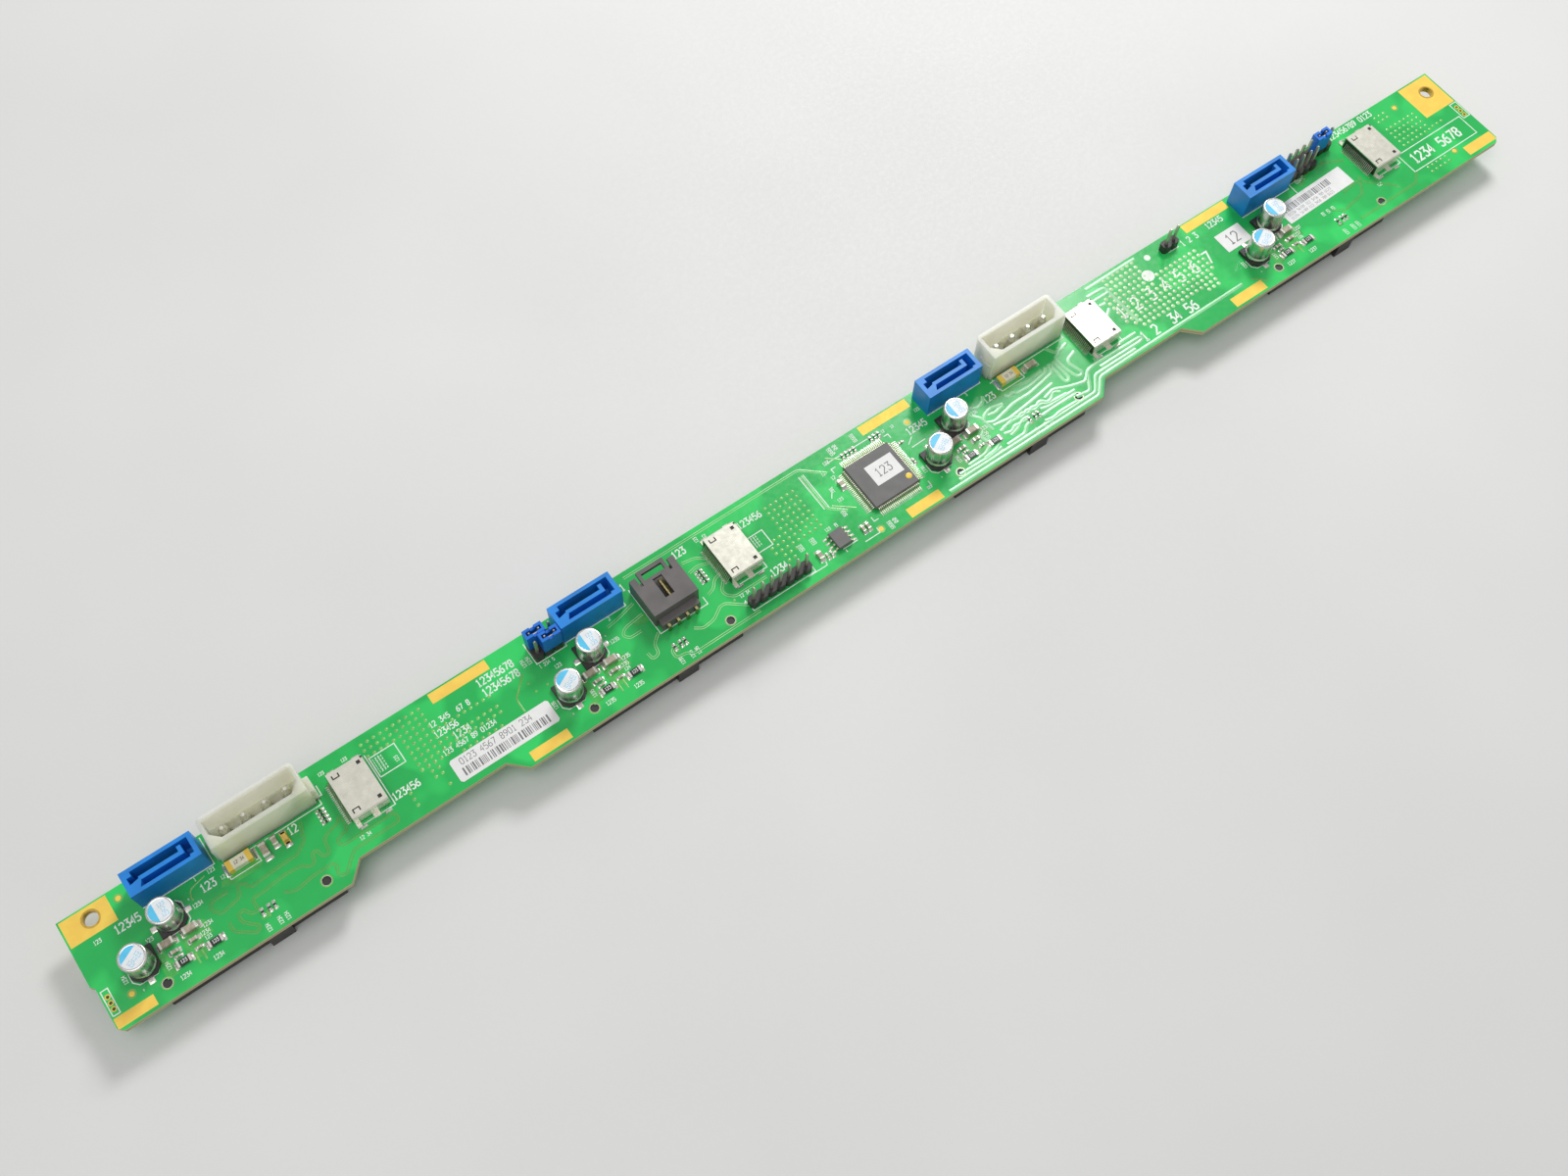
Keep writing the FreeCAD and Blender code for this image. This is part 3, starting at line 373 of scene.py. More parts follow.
def cream_finish():
    """Moulded nylon that lets a little light through."""
    c = colours()
    made = Finish("power_cream", c.power_cream, 0.42)
    slow = made.ranged(made.noise(9.0, 4.0), 0.3, 0.7, 0.0, 1.0)
    made.set_colour(made.shades(slow, c.power_cream, 0.94, 1.05))
    grain = made.noise(0.12, 3.0)
    made.set_roughness(made.ranged(grain, 0.3, 0.7, 0.34, 0.5))
    made.set_bump(grain, 0.004)
    made.set_plain(subsurface_weight=1.0, subsurface_scale=0.009, subsurface_radius=(1, 0.95, 0.8))
    return made.material


def can_finish():
    """Drawn aluminium with upright streaks round the wall."""
    c = colours()
    made = Finish("can_aluminium", c.can, 0.28, 1.0)
    streaks = made.noise(0.5, 4.0, (1, 1, 0.04))
    made.set_colour(made.shades(streaks, c.can, 0.86, 1.1))
    made.set_roughness(made.ranged(streaks, 0.3, 0.7, 0.2, 0.36))
    made.set_bump(made.noise(0.25, 3.0, (1, 1, 0.05)), 0.004)
    return made.material


def drawn_lines(*stretch):
    """Settings of a metal with fine drawn lines and faint stains."""
    return dict(cloud_mm=3.0, spread=0.06, grain_mm=0.35, grain_depth_mm=0.003, rough_spread=0.09,
                stretch=stretch)


def pattern(cloud_mm, spread, grain_mm, grain_depth_mm=0.004, **more):
    """Settings of the pattern of a finish, by name."""
    return dict(more, cloud_mm=cloud_mm, spread=spread, grain_mm=grain_mm,
                grain_depth_mm=grain_depth_mm)


# Finish: material, colour setting, roughness, metallic, pattern.
FINISHES = {
    "gold": ("bare_gold", "gold", 0.5, 0.12,
             pattern(3.0, 0.035, 0.9, 0.0006, rough_spread=0.05, specular_level=0.12)),
    "gold_pin": ("gold_pin", "gold", 0.26, 1.0, drawn_lines(1, 1, 0.1)),
    "brass": ("brass_blade", "brass", 0.34, 1.0, drawn_lines(1, 1, 0.1)),
    "tin": ("tin_plate", "tin", 0.3, 0.8, drawn_lines(1, 1, 0.2)),
    "pin": ("header_pin", "pin", 0.34, 0.8, drawn_lines(1, 1, 0.1)),
    "lead": ("chip_lead", "lead", 0.32, 0.6, drawn_lines(1, 1, 1)),
    "solder": ("solder", "tin", 0.24, 0.72, pattern(0.8, 0.1, 0.25, 0.01)),
    "shell": ("shell_nickel", "shell", 0.27, 0.55,
              pattern(2.4, 0.035, 1.1, 0.001, rough_spread=0.03)),
    "track": ("track_edge", "track", 0.3, 0.0,
              pattern(5.0, 0.1, 0.6, coat_weight=0.25, coat_roughness=0.12)),
    # Painted highlight: the next finish paints the key light's glare on track edges and vias as a
    # paler colour
    "pale_track": ("pale_track_edge", "pale_track", 0.3, 0.0,
                   pattern(5.0, 0.12, 0.6, coat_weight=0.5, coat_roughness=0.2)),
    # Partly painted highlight: the next finish whitens the mask over bay 2's track pairs for the
    # key light's glare; its glossy coat is real
    "ridge": ("track_ridge", "ridge", 0.3, 0.0,
              pattern(5.0, 0.05, 0.6, coat_weight=1.0, coat_roughness=0.3)),
    "tented": ("covered_via", "tented", 0.3, 0.0,
               pattern(2.0, 0.1, 0.5, coat_weight=1.0, coat_roughness=0.3)),
    "patch": ("copper_patch", "patch", 0.22, 0.0, pattern(2.5, 0.1, 0.6, 0.002, rough_spread=0.04)),
    "print": ("white_print", "print_white", 0.55, 0.0, pattern(1.5, 0.06, 0.15, 0.006)),
    "blue": ("data_blue", "data_blue", 0.42, 0.0, pattern(5.0, 0.07, 0.1)),
    "black": ("black_moulding", "black", 0.46, 0.0, pattern(4.0, 0.1, 0.12, 0.008)),
    "grey": ("grey_moulding", "grey", 0.5, 0.0, pattern(4.0, 0.08, 0.12, 0.008)),
    "chip": ("chip_moulding", "chip", 0.55, 0.0, pattern(3.0, 0.05, 0.1, 0.008)),
    "jumper": ("jumper_cap", "jumper", 0.38, 0.0, pattern(3.0, 0.07, 0.12, 0.005)),
    "can_top": ("can_lacquer", "can_top", 0.4, 0.0, pattern(2.0, 0.03, 0.2)),
    "can_mark": ("can_mark", "can_mark", 0.4, 0.0, pattern(2.0, 0.04, 0.2)),
    "ceramic": ("ceramic", "ceramic", 0.5, 0.0, pattern(0.7, 0.12, 0.1, 0.006)),
    "resistor": ("resistor_glaze", "resistor", 0.3, 0.0, pattern(0.7, 0.1, 0.15)),
    "fuse": ("fuse_ceramic", "fuse", 0.45, 0.0, pattern(1.0, 0.06, 0.12, 0.005)),
    "lamp": ("lamp_lens", "lamp", 0.18, 0.0, pattern(0.8, 0.1, 0.3, coat_weight=0.5)),
    "paper": ("label_paper", "paper", 0.6, 0.0, pattern(3.0, 0.02, 0.15, 0.006)),
    "ink": ("label_ink", "ink", 0.6, 0.0, pattern(0.8, 0.12, 0.15, 0.003)),
}
PAINT_DOT = (0.95, 0.8, 0.22)
OWN_FINISHES = {
    "mask": mask_finish,
    "cream": cream_finish,
    "can": can_finish,
    "yellow": lambda: clouded("paint_dot", PAINT_DOT, 0.4, **pattern(0.6, 0.08, 0.2)),
    "bore": lambda: clouded("plated_bore", scaled(colours().gold, 0.8), 0.35, 0.9, cloud_mm=1.0),
}
MATERIALS = {}


def finish(name):
    """Every finish by its name, made the first time that it is asked for."""
    if name in OWN_FINISHES and name not in MATERIALS:
        MATERIALS[name] = OWN_FINISHES[name]()
    if name not in MATERIALS:
        material, setting, roughness, metallic, looks = FINISHES[name]
        shade = getattr(colours(), setting)
        MATERIALS[name] = clouded(material, shade, roughness, metallic, **looks)
    return MATERIALS[name]


def dress(node, name):
    """Give a CAD node its finish."""
    materials = frame["nodes"][node].data.materials
    materials.clear()
    materials.append(finish(name))


def dress_all(name, *nodes):
    for node in nodes:
        dress(node, name)


# ------------------------------------------------------------------ mesh work
class Work:
    """Gathers points and faces in board millimetres, each face with its finish."""

    def __init__(self, *finishes):
        self.finishes = list(finishes)
        self.points = []
        self.faces = []
        self.marks = []

    def add(self, points, faces, finish_name=None):
        start = len(self.points)
        number = self.finishes.index(finish_name) if finish_name else 0
        self.points += points
        self.faces += [[start + i for i in face] for face in faces]
        self.marks += [number] * len(faces)

    def piece(self, name, replaced=(), smooth_angle=None):
        """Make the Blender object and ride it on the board."""
        if not self.faces:
            raise RuntimeError(f"nothing was made for {name}")
        mesh = bpy.data.meshes.new(name)
        mesh.from_pydata([to_scene(p) for p in self.points], [], self.faces)
        for mark in self.finishes:
            mesh.materials.append(finish(mark))
        mesh.polygons.foreach_set("material_index", self.marks)
        if smooth_angle:
            mesh.polygons.foreach_set("use_smooth", [True] * len(mesh.polygons))
            mesh.set_sharp_from_angle(angle=math.radians(smooth_angle))
        mesh.update()
        made = bpy.data.objects.new(name, mesh)
        bpy.context.scene.collection.objects.link(made)
        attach(made, "root")
        if replaced:
            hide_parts(*replaced)
        return made


def stacked(levels):
    """Solid through closed outlines of like length, given as (outline, up), with shut ends."""
    count = len(levels[0][0])
    points = [(x, y, up) for outline, up in levels for x, y in outline]
    faces = [list(range(count))[::-1]]
    for level in range(len(levels) - 1):
        low = level * count
        for i in range(count):
            j = (i + 1) % count
            faces.append([low + i, low + j, low + count + j, low + count + i])
    faces.append([(len(levels) - 1) * count + i for i in range(count)])
    return points, faces


def oblong(x0, x1, y0, y1, inset=0.0):
    return [(x0 + inset, y0 + inset), (x1 - inset, y0 + inset),
            (x1 - inset, y1 - inset), (x0 + inset, y1 - inset)]


def circle(x, y, radius, sides):
    turns = (2 * math.pi * i / sides for i in range(sides))
    return [(x + radius * math.cos(turn), y + radius * math.sin(turn)) for turn in turns]


def plate(x0, x1, y0, y1, low, high, bevel=0.02):
    """Flat pad or block with a small bevel round its top."""
    return stacked([(oblong(x0, x1, y0, y1), low), (oblong(x0, x1, y0, y1), high - bevel),
                    (oblong(x0, x1, y0, y1, bevel), high)])


def dome(x, y, radius, low, high, sides=16, steps=4):
    """Round drop of solder or mask."""
    levels = []
    for step in range(steps):
        turn = math.pi / 2 * step / steps
        outline = circle(x, y, radius * math.cos(turn), sides)
        levels.append((outline, low + (high - low) * math.sin(turn)))
    return stacked(levels)


def turned_under(points, faces):
    """The same shape on the drive side of the board."""
    return [(x, y, -THICKNESS - up) for x, y, up in points], [face[::-1] for face in faces]


def swell(share, low, high):
    """Height of a soft swelling at a share of the way from its middle to its edge."""
    return low + (high - low) * math.cos(math.pi / 2 * share) ** 2


def button(x, y, radius, low, high, sides=10):
    """Shallow round swelling of the mask over a via."""
    return stacked([(circle(x, y, radius * share, sides), swell(share, low, high))
                    for share in (1.0, 0.72, 0.42, 0.12)])


def ring(x, y, inner, outer, low, high, sides=24):
    """Flat ring with upright walls."""
    points = []
    for radius, up in ((outer, low), (outer, high), (inner, high), (inner, low)):
        points += [(px, py, up) for px, py in circle(x, y, radius, sides)]
    faces = []
    for band in range(4):
        here = band * sides
        there = (band + 1) % 4 * sides
        for i in range(sides):
            j = (i + 1) % sides
            faces.append([here + i, here + j, there + j, there + i])
    return points, faces


def turned_about(points, x, y, degrees):
    """Points turned about an upright axis."""
    cosine = math.cos(math.radians(degrees))
    sine = math.sin(math.radians(degrees))
    return [(x + (px - x) * cosine - (py - y) * sine, y + (px - x) * sine + (py - y) * cosine, up)
            for px, py, up in points]


def offset_line(path, distance):
    """Open line beside another, mitred at its corners."""
    beside = []
    last = len(path) - 1
    for i, (x, y) in enumerate(path):
        before = path[max(i - 1, 0)]
        after = path[min(i + 1, last)]
        ahead = Vector((after[0] - x, after[1] - y)) if i < last else None
        behind = Vector((x - before[0], y - before[1])) if i else None
        first = (behind or ahead).normalized()
        second = (ahead or behind).normalized()
        lean = first + second
        lean = lean.normalized() if lean.length > 1e-6 else first
        normal = Vector((-lean.y, lean.x))
        reach = distance / max(0.5, lean.dot(first))
        beside.append((x + normal.x * reach, y + normal.y * reach))
    return beside


def ribbon(path, width, low, high):
    """Raised line with sloping sides along an open path."""
    foot = width / 2
    crown = width * 0.32
    sections = [offset_line(path, d) for d in (-foot, -crown, crown, foot)]
    heights = (low, high, high, low)
    count = len(path)
    points = [(x, y, up) for line, up in zip(sections, heights) for x, y in line]
    faces = [[k * count + i, k * count + i + 1, (k + 1) * count + i + 1, (k + 1) * count + i]
             for k in range(3) for i in range(count - 1)]
    faces = [face[::-1] for face in faces]
    faces.append([k * count for k in (0, 1, 2, 3)])
    faces.append([k * count - 1 for k in (4, 3, 2, 1)])
    return points, faces


def swelling(path, width, low, high):
    """Soft rounded ridge along an open path, for a track that lies under the mask."""
    shares = (-1, -0.7, -0.35, 0, 0.35, 0.7, 1)
    sections = [offset_line(path, share * width / 2) for share in shares]
    heights = [swell(share, low, high) for share in shares]
    count = len(path)
    points = [(x, y, up) for line, up in zip(sections, heights) for x, y in line]
    faces = [[k * count + i, (k + 1) * count + i, (k + 1) * count + i + 1, k * count + i + 1]
             for k in range(len(shares) - 1) for i in range(count - 1)]
    return points, faces


def eased(path, radius=0.9, steps=4):
    """Path with its corners rounded, as tracks are drawn."""
    out = [path[0]]
    for before, here, after in zip(path, path[1:], path[2:]):
        corner = Vector(here)
        back = Vector(before) - corner
        ahead = Vector(after) - corner
        reach = min(radius, back.length * 0.45, ahead.length * 0.45)
        start = corner + back.normalized() * reach
        end = corner + ahead.normalized() * reach
        for step in range(steps + 1):
            t = step / steps
            bend = start * (1 - t) ** 2 + corner * 2 * t * (1 - t) + end * t ** 2
            out.append((bend.x, bend.y))
    return out + [path[-1]]


def bent_strip(profile, thickness, width):
    """Strip of sheet that follows a (distance, up) profile, drawn across its width."""
    upper = offset_line(profile, thickness / 2)
    lower = offset_line(profile, -thickness / 2)
    outline = lower + upper[::-1]
    count = len(outline)
    points = [(d, side * width / 2, up) for side in (-1, 1) for d, up in outline]
    half = count // 2
    faces = [[i, (i + 1) % count, count + (i + 1) % count, count + i] for i in range(count)]
    for base in (0, count):
        for i in range(half - 1):
            quad = [base + i, base + i + 1, base + count - 2 - i, base + count - 1 - i]
            faces.append(quad[::-1] if base == 0 else quad)
    return points, faces


def set_round(points, x, y, degrees):
    """Move points drawn about zero to a place, turned."""
    return turned_about([(px + x, py + y, up) for px, py, up in points], x, y, degrees)


# Strokes of plain numbers on a field one unit wide and one and a half high.
STROKES = {
    "0": [[(0.2, 0), (0, 0.3), (0, 1.2), (0.2, 1.5), (0.8, 1.5), (1, 1.2), (1, 0.3), (0.8, 0),
           (0.2, 0)]],
    "1": [[(0.2, 1.2), (0.55, 1.5), (0.55, 0)], [(0.2, 0), (0.9, 0)]],
    "2": [[(0, 1.2), (0.2, 1.5), (0.8, 1.5), (1, 1.2), (1, 0.95), (0, 0), (1, 0)]],
    "3": [[(0, 1.5), (1, 1.5), (0.5, 0.9), (0.8, 0.9), (1, 0.65), (1, 0.3), (0.8, 0), (0.2, 0),
           (0, 0.25)]],
    "4": [[(0.75, 0), (0.75, 1.5), (0, 0.5), (1, 0.5)]],
    "5": [[(1, 1.5), (0.1, 1.5), (0, 0.85), (0.7, 0.9), (1, 0.6), (1, 0.3), (0.7, 0), (0.2, 0),
           (0, 0.2)]],
    "6": [[(0.9, 1.5), (0.3, 1.2), (0, 0.6), (0, 0.3), (0.2, 0), (0.8, 0), (1, 0.3), (0.8, 0.8),
           (0.1, 0.75)]],
    "7": [[(0, 1.5), (1, 1.5), (0.35, 0)]],
    "8": [[(0.2, 0.8), (0, 1.1), (0.2, 1.5), (0.8, 1.5), (1, 1.1), (0.8, 0.8), (0.2, 0.8), (0, 0.4),
           (0.2, 0), (0.8, 0), (1, 0.4), (0.8, 0.8)]],
    "9": [[(0.1, 0), (0.7, 0.3), (1, 0.9), (1, 1.2), (0.8, 1.5), (0.2, 1.5), (0, 1.2), (0.2, 0.75),
           (0.95, 0.8)]],
    "+": [[(0.1, 0.75), (0.9, 0.75)], [(0.5, 0.35), (0.5, 1.15)]],
}


def write_number(work, number, along, across, tall, up, degrees=0.0, line=None, depth=None,
                 ink="print"):
    """Plain number whose first digit starts at a place."""
    unit = tall / 1.5
    narrowed, advance = 0.72, 1.02
    width = line or max(0.15, min(0.5, tall * 0.175))
    rise = depth or sizes().print_height
    for i, figure in enumerate(number):
        for stroke in STROKES.get(figure, []):
            path = [(along + (px * narrowed + i * advance) * unit, across + py * unit)
                    for px, py in stroke]
            points, faces = ribbon(path, width, up, up + rise)
            work.add(turned_about(points, along, across, degrees), faces, ink)


def at(bay, offset):
    """Along, at an offset from the middle of a bay's data connector."""
    return BAYS[bay] + offset


def placed(bay, corners):
    """Path or outline on the board from corners given in a bay."""
    return [(at(bay, offset), across) for offset, across in corners]


class Step:
    """What every step shares: it makes its pieces and reports that it is done."""

    def execute(self, context):
        self.make()
        return {"FINISHED"}


# ------------------------------------------------------------------ the board
# Bare gold areas: bay, offsets of the two ends, across of the two edges.
GOLD_AREAS = (
    (0, -24.6, -13.7, 21.9, 28.45), (0, -24.0, -14.9, 0.8, 3.4), (0, 66.2, 81.3, 25.7, 28.4),
    (0, 77.7, 87.8, 0.6, 3.2), (1, 82.1, 96.9, 25.7, 28.4), (1, 78.0, 88.0, 0.5, 3.2),
    (2, 78.0, 88.8, 0.6, 3.5), (2, 82.9, 98.0, 25.8, 28.5), (3, 57.4, 68.1, 17.0, 28.4),
    (3, 58.0, 68.2, 0.9, 3.9),
)
FIDUCIALS = (
    (0, -11.7, 26.2), (0, -18.5, 6.0), (2, -13.6, 22.5), (2, -37.0, 2.5), (3, 52.5, 24.8),
    (3, 55.4, 4.5),
)
FIDUCIAL_RADIUS = 0.62
FIDUCIAL_CLEARING = 1.05

# Fields of covered vias: bay, offset and across of the first, columns, rows,
# steps by the via pitch towards the right and the near edge.
VIA_FIELDS = (
    (0, 47.9, 26.6, 10, 3), (0, 56.2, 21.7, 5, 6), (0, 64.4, 20.0, 9, 1), (0, 62.8, 16.9, 10, 2),
    (0, 56.2, 13.7, 4, 1), (0, 57.9, 12.0, 2, 2), (0, 66.2, 12.2, 7, 1), (0, 51.3, 10.3, 1, 3),
    (0, 59.6, 7.2, 1, 1), (1, 50.2, 23.1, 6, 5), (1, 47.0, 14.9, 8, 1), (1, 45.4, 13.3, 9, 2),
    (1, 47.0, 10.1, 3, 1), (1, 47.0, 8.5, 2, 1), (2, 54.6, 27.0, 7, 3), (2, 51.4, 22.0, 9, 3),
    (2, 51.4, 17.0, 19, 3), (2, 67.6, 20.4, 9, 2), (2, 53.0, 12.1, 17, 1), (2, 54.6, 10.5, 16, 1),
    (2, 75.8, 9.0, 3, 1), (3, 45.4, 25.2, 3, 2), (3, 45.4, 20.4, 7, 5), (3, 45.4, 4.6, 5, 2),
    (3, 56.8, 14.1, 3, 1),
)
LONE_VIAS = (
    (0, 22.0, 21.6), (0, 86.5, 17.5), (0, 87.0, 14.8), (0, 90.0, 14.8), (1, 30.2, 7.4),
    (2, -30.0, 7.6), (3, 25.9, 4.7), (3, 33.8, 4.6), (3, 29.5, 11.4), (3, -14.2, 9.8),
)

# Track pairs: bay, then offset and across of each corner.
TRACK_PAIRS = (
    (0, (8.0, 13.9), (4.0, 13.9), (3.2, 12.4), (4.6, 10.3), (9.6, 11.3), (10.4, 13.8),
     (11.6, 13.6), (12.6, 11.8), (17.5, 12.3), (24.2, 12.5), (26.8, 14.3), (27.6, 17.0),
     (28.3, 18.7)),
    (0, (5.2, 7.6), (4.9, 5.5), (9.0, 2.2), (10.3, 3.2), (7.4, 6.2), (7.5, 8.2), (8.9, 8.4),
     (10.0, 6.5), (11.5, 6.4), (11.5, 9.5), (14.0, 9.4), (20.0, 10.1), (24.0, 9.7), (24.9, 8.5),
     (26.4, 8.6), (26.9, 10.9), (28.1, 10.9), (28.5, 8.8), (30.1, 8.7), (30.6, 12.3), (33.0, 13.3),
     (34.9, 13.6), (36.0, 15.0)),
    (0, (17.7, 6.8), (20.2, 5.5), (24.5, 6.3), (29.6, 6.3), (29.9, 5.2), (29.1, 3.2), (30.7, 2.4),
     (34.7, 6.3), (46.2, 6.3), (46.2, 8.6), (33.2, 8.6), (32.5, 9.9), (34.0, 10.8), (36.0, 11.3),
     (36.4, 14.2)),
    (1, (10.3, 20.5), (5.0, 19.2), (2.0, 18.8)),
    (1, (10.6, 17.0), (5.2, 16.3), (3.7, 15.0), (4.8, 13.5), (8.0, 13.5)),
    (1, (11.0, 10.9), (8.6, 9.0), (8.1, 6.3), (6.2, 6.0), (6.0, 8.0)),
    (1, (13.0, 5.6), (10.9, 5.4), (10.8, 3.1), (13.6, 2.8), (14.8, 1.7), (33.8, 1.7)),
    (1, (18.4, 7.0), (20.2, 5.7), (23.5, 6.1), (26.6, 8.1), (28.0, 8.0), (32.4, 4.4)),
    (1, (12.0, 27.2), (63.0, 27.2), (68.5, 22.4)), (1, (25.5, 22.5), (29.0, 21.9), (31.2, 20.1)),
    (1, (25.5, 19.4), (28.2, 19.9), (31.4, 18.7)),
    (1, (26.0, 12.2), (27.9, 12.7), (29.4, 14.6), (31.6, 15.2)),
    (1, (31.0, 13.2), (29.2, 11.2), (29.3, 9.8), (31.0, 8.1), (40.0, 8.1)),
    (1, (62.6, 25.4), (62.6, 14.6), (66.5, 11.2)),
    (2, (-17.0, 0.9), (31.2, 0.9), (34.9, 4.9), (46.0, 5.1), (84.0, 5.2)),
    (2, (-13.0, 2.1), (30.9, 2.1), (34.2, 6.1), (47.8, 6.0)),
    (2, (26.0, 3.9), (30.0, 3.2), (33.3, 8.2), (36.4, 8.6), (50.8, 8.2), (51.5, 7.7), (50.4, 7.1),
     (36.8, 7.2)),
    (2, (43.6, 9.8), (51.0, 9.8)),
    (2, (9.4, 12.9), (6.0, 13.8), (3.2, 12.9), (2.0, 11.2), (4.6, 10.0), (11.8, 11.5),
     (17.0, 11.4), (21.0, 12.0), (25.6, 12.9), (26.4, 15.4)),
    (2, (9.2, 12.6), (6.2, 12.0), (4.2, 12.4)),
    (2, (11.2, 14.6), (12.2, 13.4), (13.4, 14.3), (14.2, 13.2), (18.6, 13.0), (24.2, 13.9),
     (25.1, 15.2)),
    (2, (15.0, 15.2), (18.6, 14.4), (23.6, 14.9)),
    (2, (26.6, 15.2), (26.5, 9.2), (27.4, 8.5), (28.2, 9.6), (28.0, 12.4), (27.6, 15.4)),
    (2, (28.7, 15.4), (29.2, 11.2), (30.0, 8.5), (31.2, 7.9), (32.0, 8.8), (30.8, 12.4),
     (31.4, 13.6), (34.4, 14.6)),
    (2, (29.8, 16.0), (31.0, 17.0), (34.2, 17.6)),
    (2, (3.6, 9.3), (8.0, 8.6), (12.4, 9.0), (17.6, 9.6), (23.6, 10.4)),
    (2, (2.6, 8.4), (2.4, 12.6), (0.8, 14.6)),
    (2, (19.2, 8.1), (22.6, 8.9), (25.4, 7.6), (28.4, 6.6), (31.0, 6.0), (33.4, 8.2)),
    (2, (5.2, 7.4), (8.6, 7.7), (11.6, 7.2), (13.2, 8.2), (15.0, 6.8), (17.0, 7.6), (19.0, 6.4),
     (24.6, 6.0)),
    (2, (4.0, 7.0), (6.0, 7.4), (8.0, 7.9), (9.1, 8.7), (10.2, 7.4), (11.5, 8.3), (13.0, 7.0),
     (14.6, 8.0), (16.0, 7.5), (17.5, 8.3), (19.2, 6.7), (20.8, 7.2), (22.0, 8.5), (23.6, 7.3)),
    (2, (4.2, 5.9), (6.2, 5.3), (8.0, 6.3), (9.4, 5.8), (10.9, 6.6), (12.4, 6.2)),
    (2, (16.2, 6.3), (18.0, 5.7), (24.2, 5.7), (27.0, 5.6)),
    (2, (-3.0, 6.6), (-1.8, 7.6), (-3.0, 8.6)), (2, (-4.0, 3.3), (0.2, 3.6), (2.2, 5.2)),
    (2, (36.9, 11.6), (38.4, 11.6), (38.6, 9.6), (36.6, 9.8)), (2, (48.4, 23.4), (53.4, 23.4)),
    (2, (48.6, 21.4), (50.6, 21.2)), (2, (48.2, 17.8), (50.4, 19.4)),
    (2, (3.0, 3.0), (8.8, 3.1), (10.2, 4.6), (12.2, 4.9)),
    (2, (12.4, 5.6), (10.0, 6.2), (8.0, 5.2), (5.4, 4.6)),
    (2, (15.0, 2.9), (17.4, 2.4), (19.6, 2.9), (25.4, 2.7)),
    (2, (15.4, 4.6), (19.8, 4.7), (26.4, 4.6)),
    (2, (0.4, 9.6), (-1.2, 8.4), (-0.4, 5.6), (-3.0, 4.2), (-8.6, 4.0)),
    (2, (1.2, 17.2), (3.2, 15.6), (5.6, 16.2), (6.6, 17.6)),
    (2, (-12.0, 3.2), (-3.4, 2.9), (1.4, 3.4)), (2, (33.0, 17.0), (30.0, 17.0), (28.6, 19.6)),
    (2, (49.0, 27.4), (66.0, 27.6)), (2, (47.8, 25.4), (53.5, 25.2), (54.0, 12.0)),
    (3, (27.6, 13.2), (24.0, 8.4), (16.0, 7.2), (13.0, 9.4)),
    (3, (20.0, 11.6), (26.0, 12.4), (30.0, 8.6), (34.0, 4.8)),
    (3, (41.6, 5.4), (39.0, 2.8), (18.0, 2.6)),
    (3, (12.0, 20.0), (16.4, 22.4), (22.6, 22.2), (28.0, 19.6)),
)
# Small copper areas under the mask, the same in every bay, against the clock from the left.
COPPER_PATCHES = (
    ((-4.6, 4.6), (-1.4, 4.6), (-1.0, 7.6), (1.6, 8.0), (1.6, 11.0), (0.2, 12.2), (-4.9, 12.2),
     (-5.2, 7.2)),
    ((-11.0, 4.2), (-8.4, 4.2), (-8.2, 6.6), (-9.2, 10.4), (-11.0, 10.4)),
    ((10.0, 14.6), (16.4, 14.6), (17.4, 15.6), (17.4, 16.6), (8.0, 16.6), (7.4, 15.4)),
    ((11.2, 3.9), (12.8, 3.9), (12.8, 5.0), (11.2, 5.0)),
)
# Single tracks, wider than a pair's.
SINGLE_TRACKS = (
    (0, (86.6, 20.2), (82.2, 15.7), (82.2, 12.1)), (0, (-3.8, 6.0), (-3.8, 3.4)),
    (0, (-2.3, 6.0), (-2.3, 3.4)), (0, (12.9, 5.4), (12.9, 3.8)),
    (0, (5.6, 20.0), (1.6, 19.0), (1.0, 17.2), (1.2, 16.4)), (1, (-3.8, 6.0), (-3.8, 3.4)),
    (1, (-2.3, 6.0), (-2.3, 3.4)), (1, (70.5, 26.0), (75.5, 21.8)), (1, (64.0, 14.4), (68.6, 10.6)),
    (3, (-20.0, 5.2), (-16.8, 2.4)), (3, (-2.4, 6.0), (-2.4, 3.4)),
)


class BACKPLANE_OT_solder_mask(Step, bpy.types.Operator):
    """Green mask and cut laminate edges on the board"""
    bl_idname = "backplane.solder_mask"
    bl_label = "Solder mask"

    def make(self):
        dress("circuit_board", "mask")


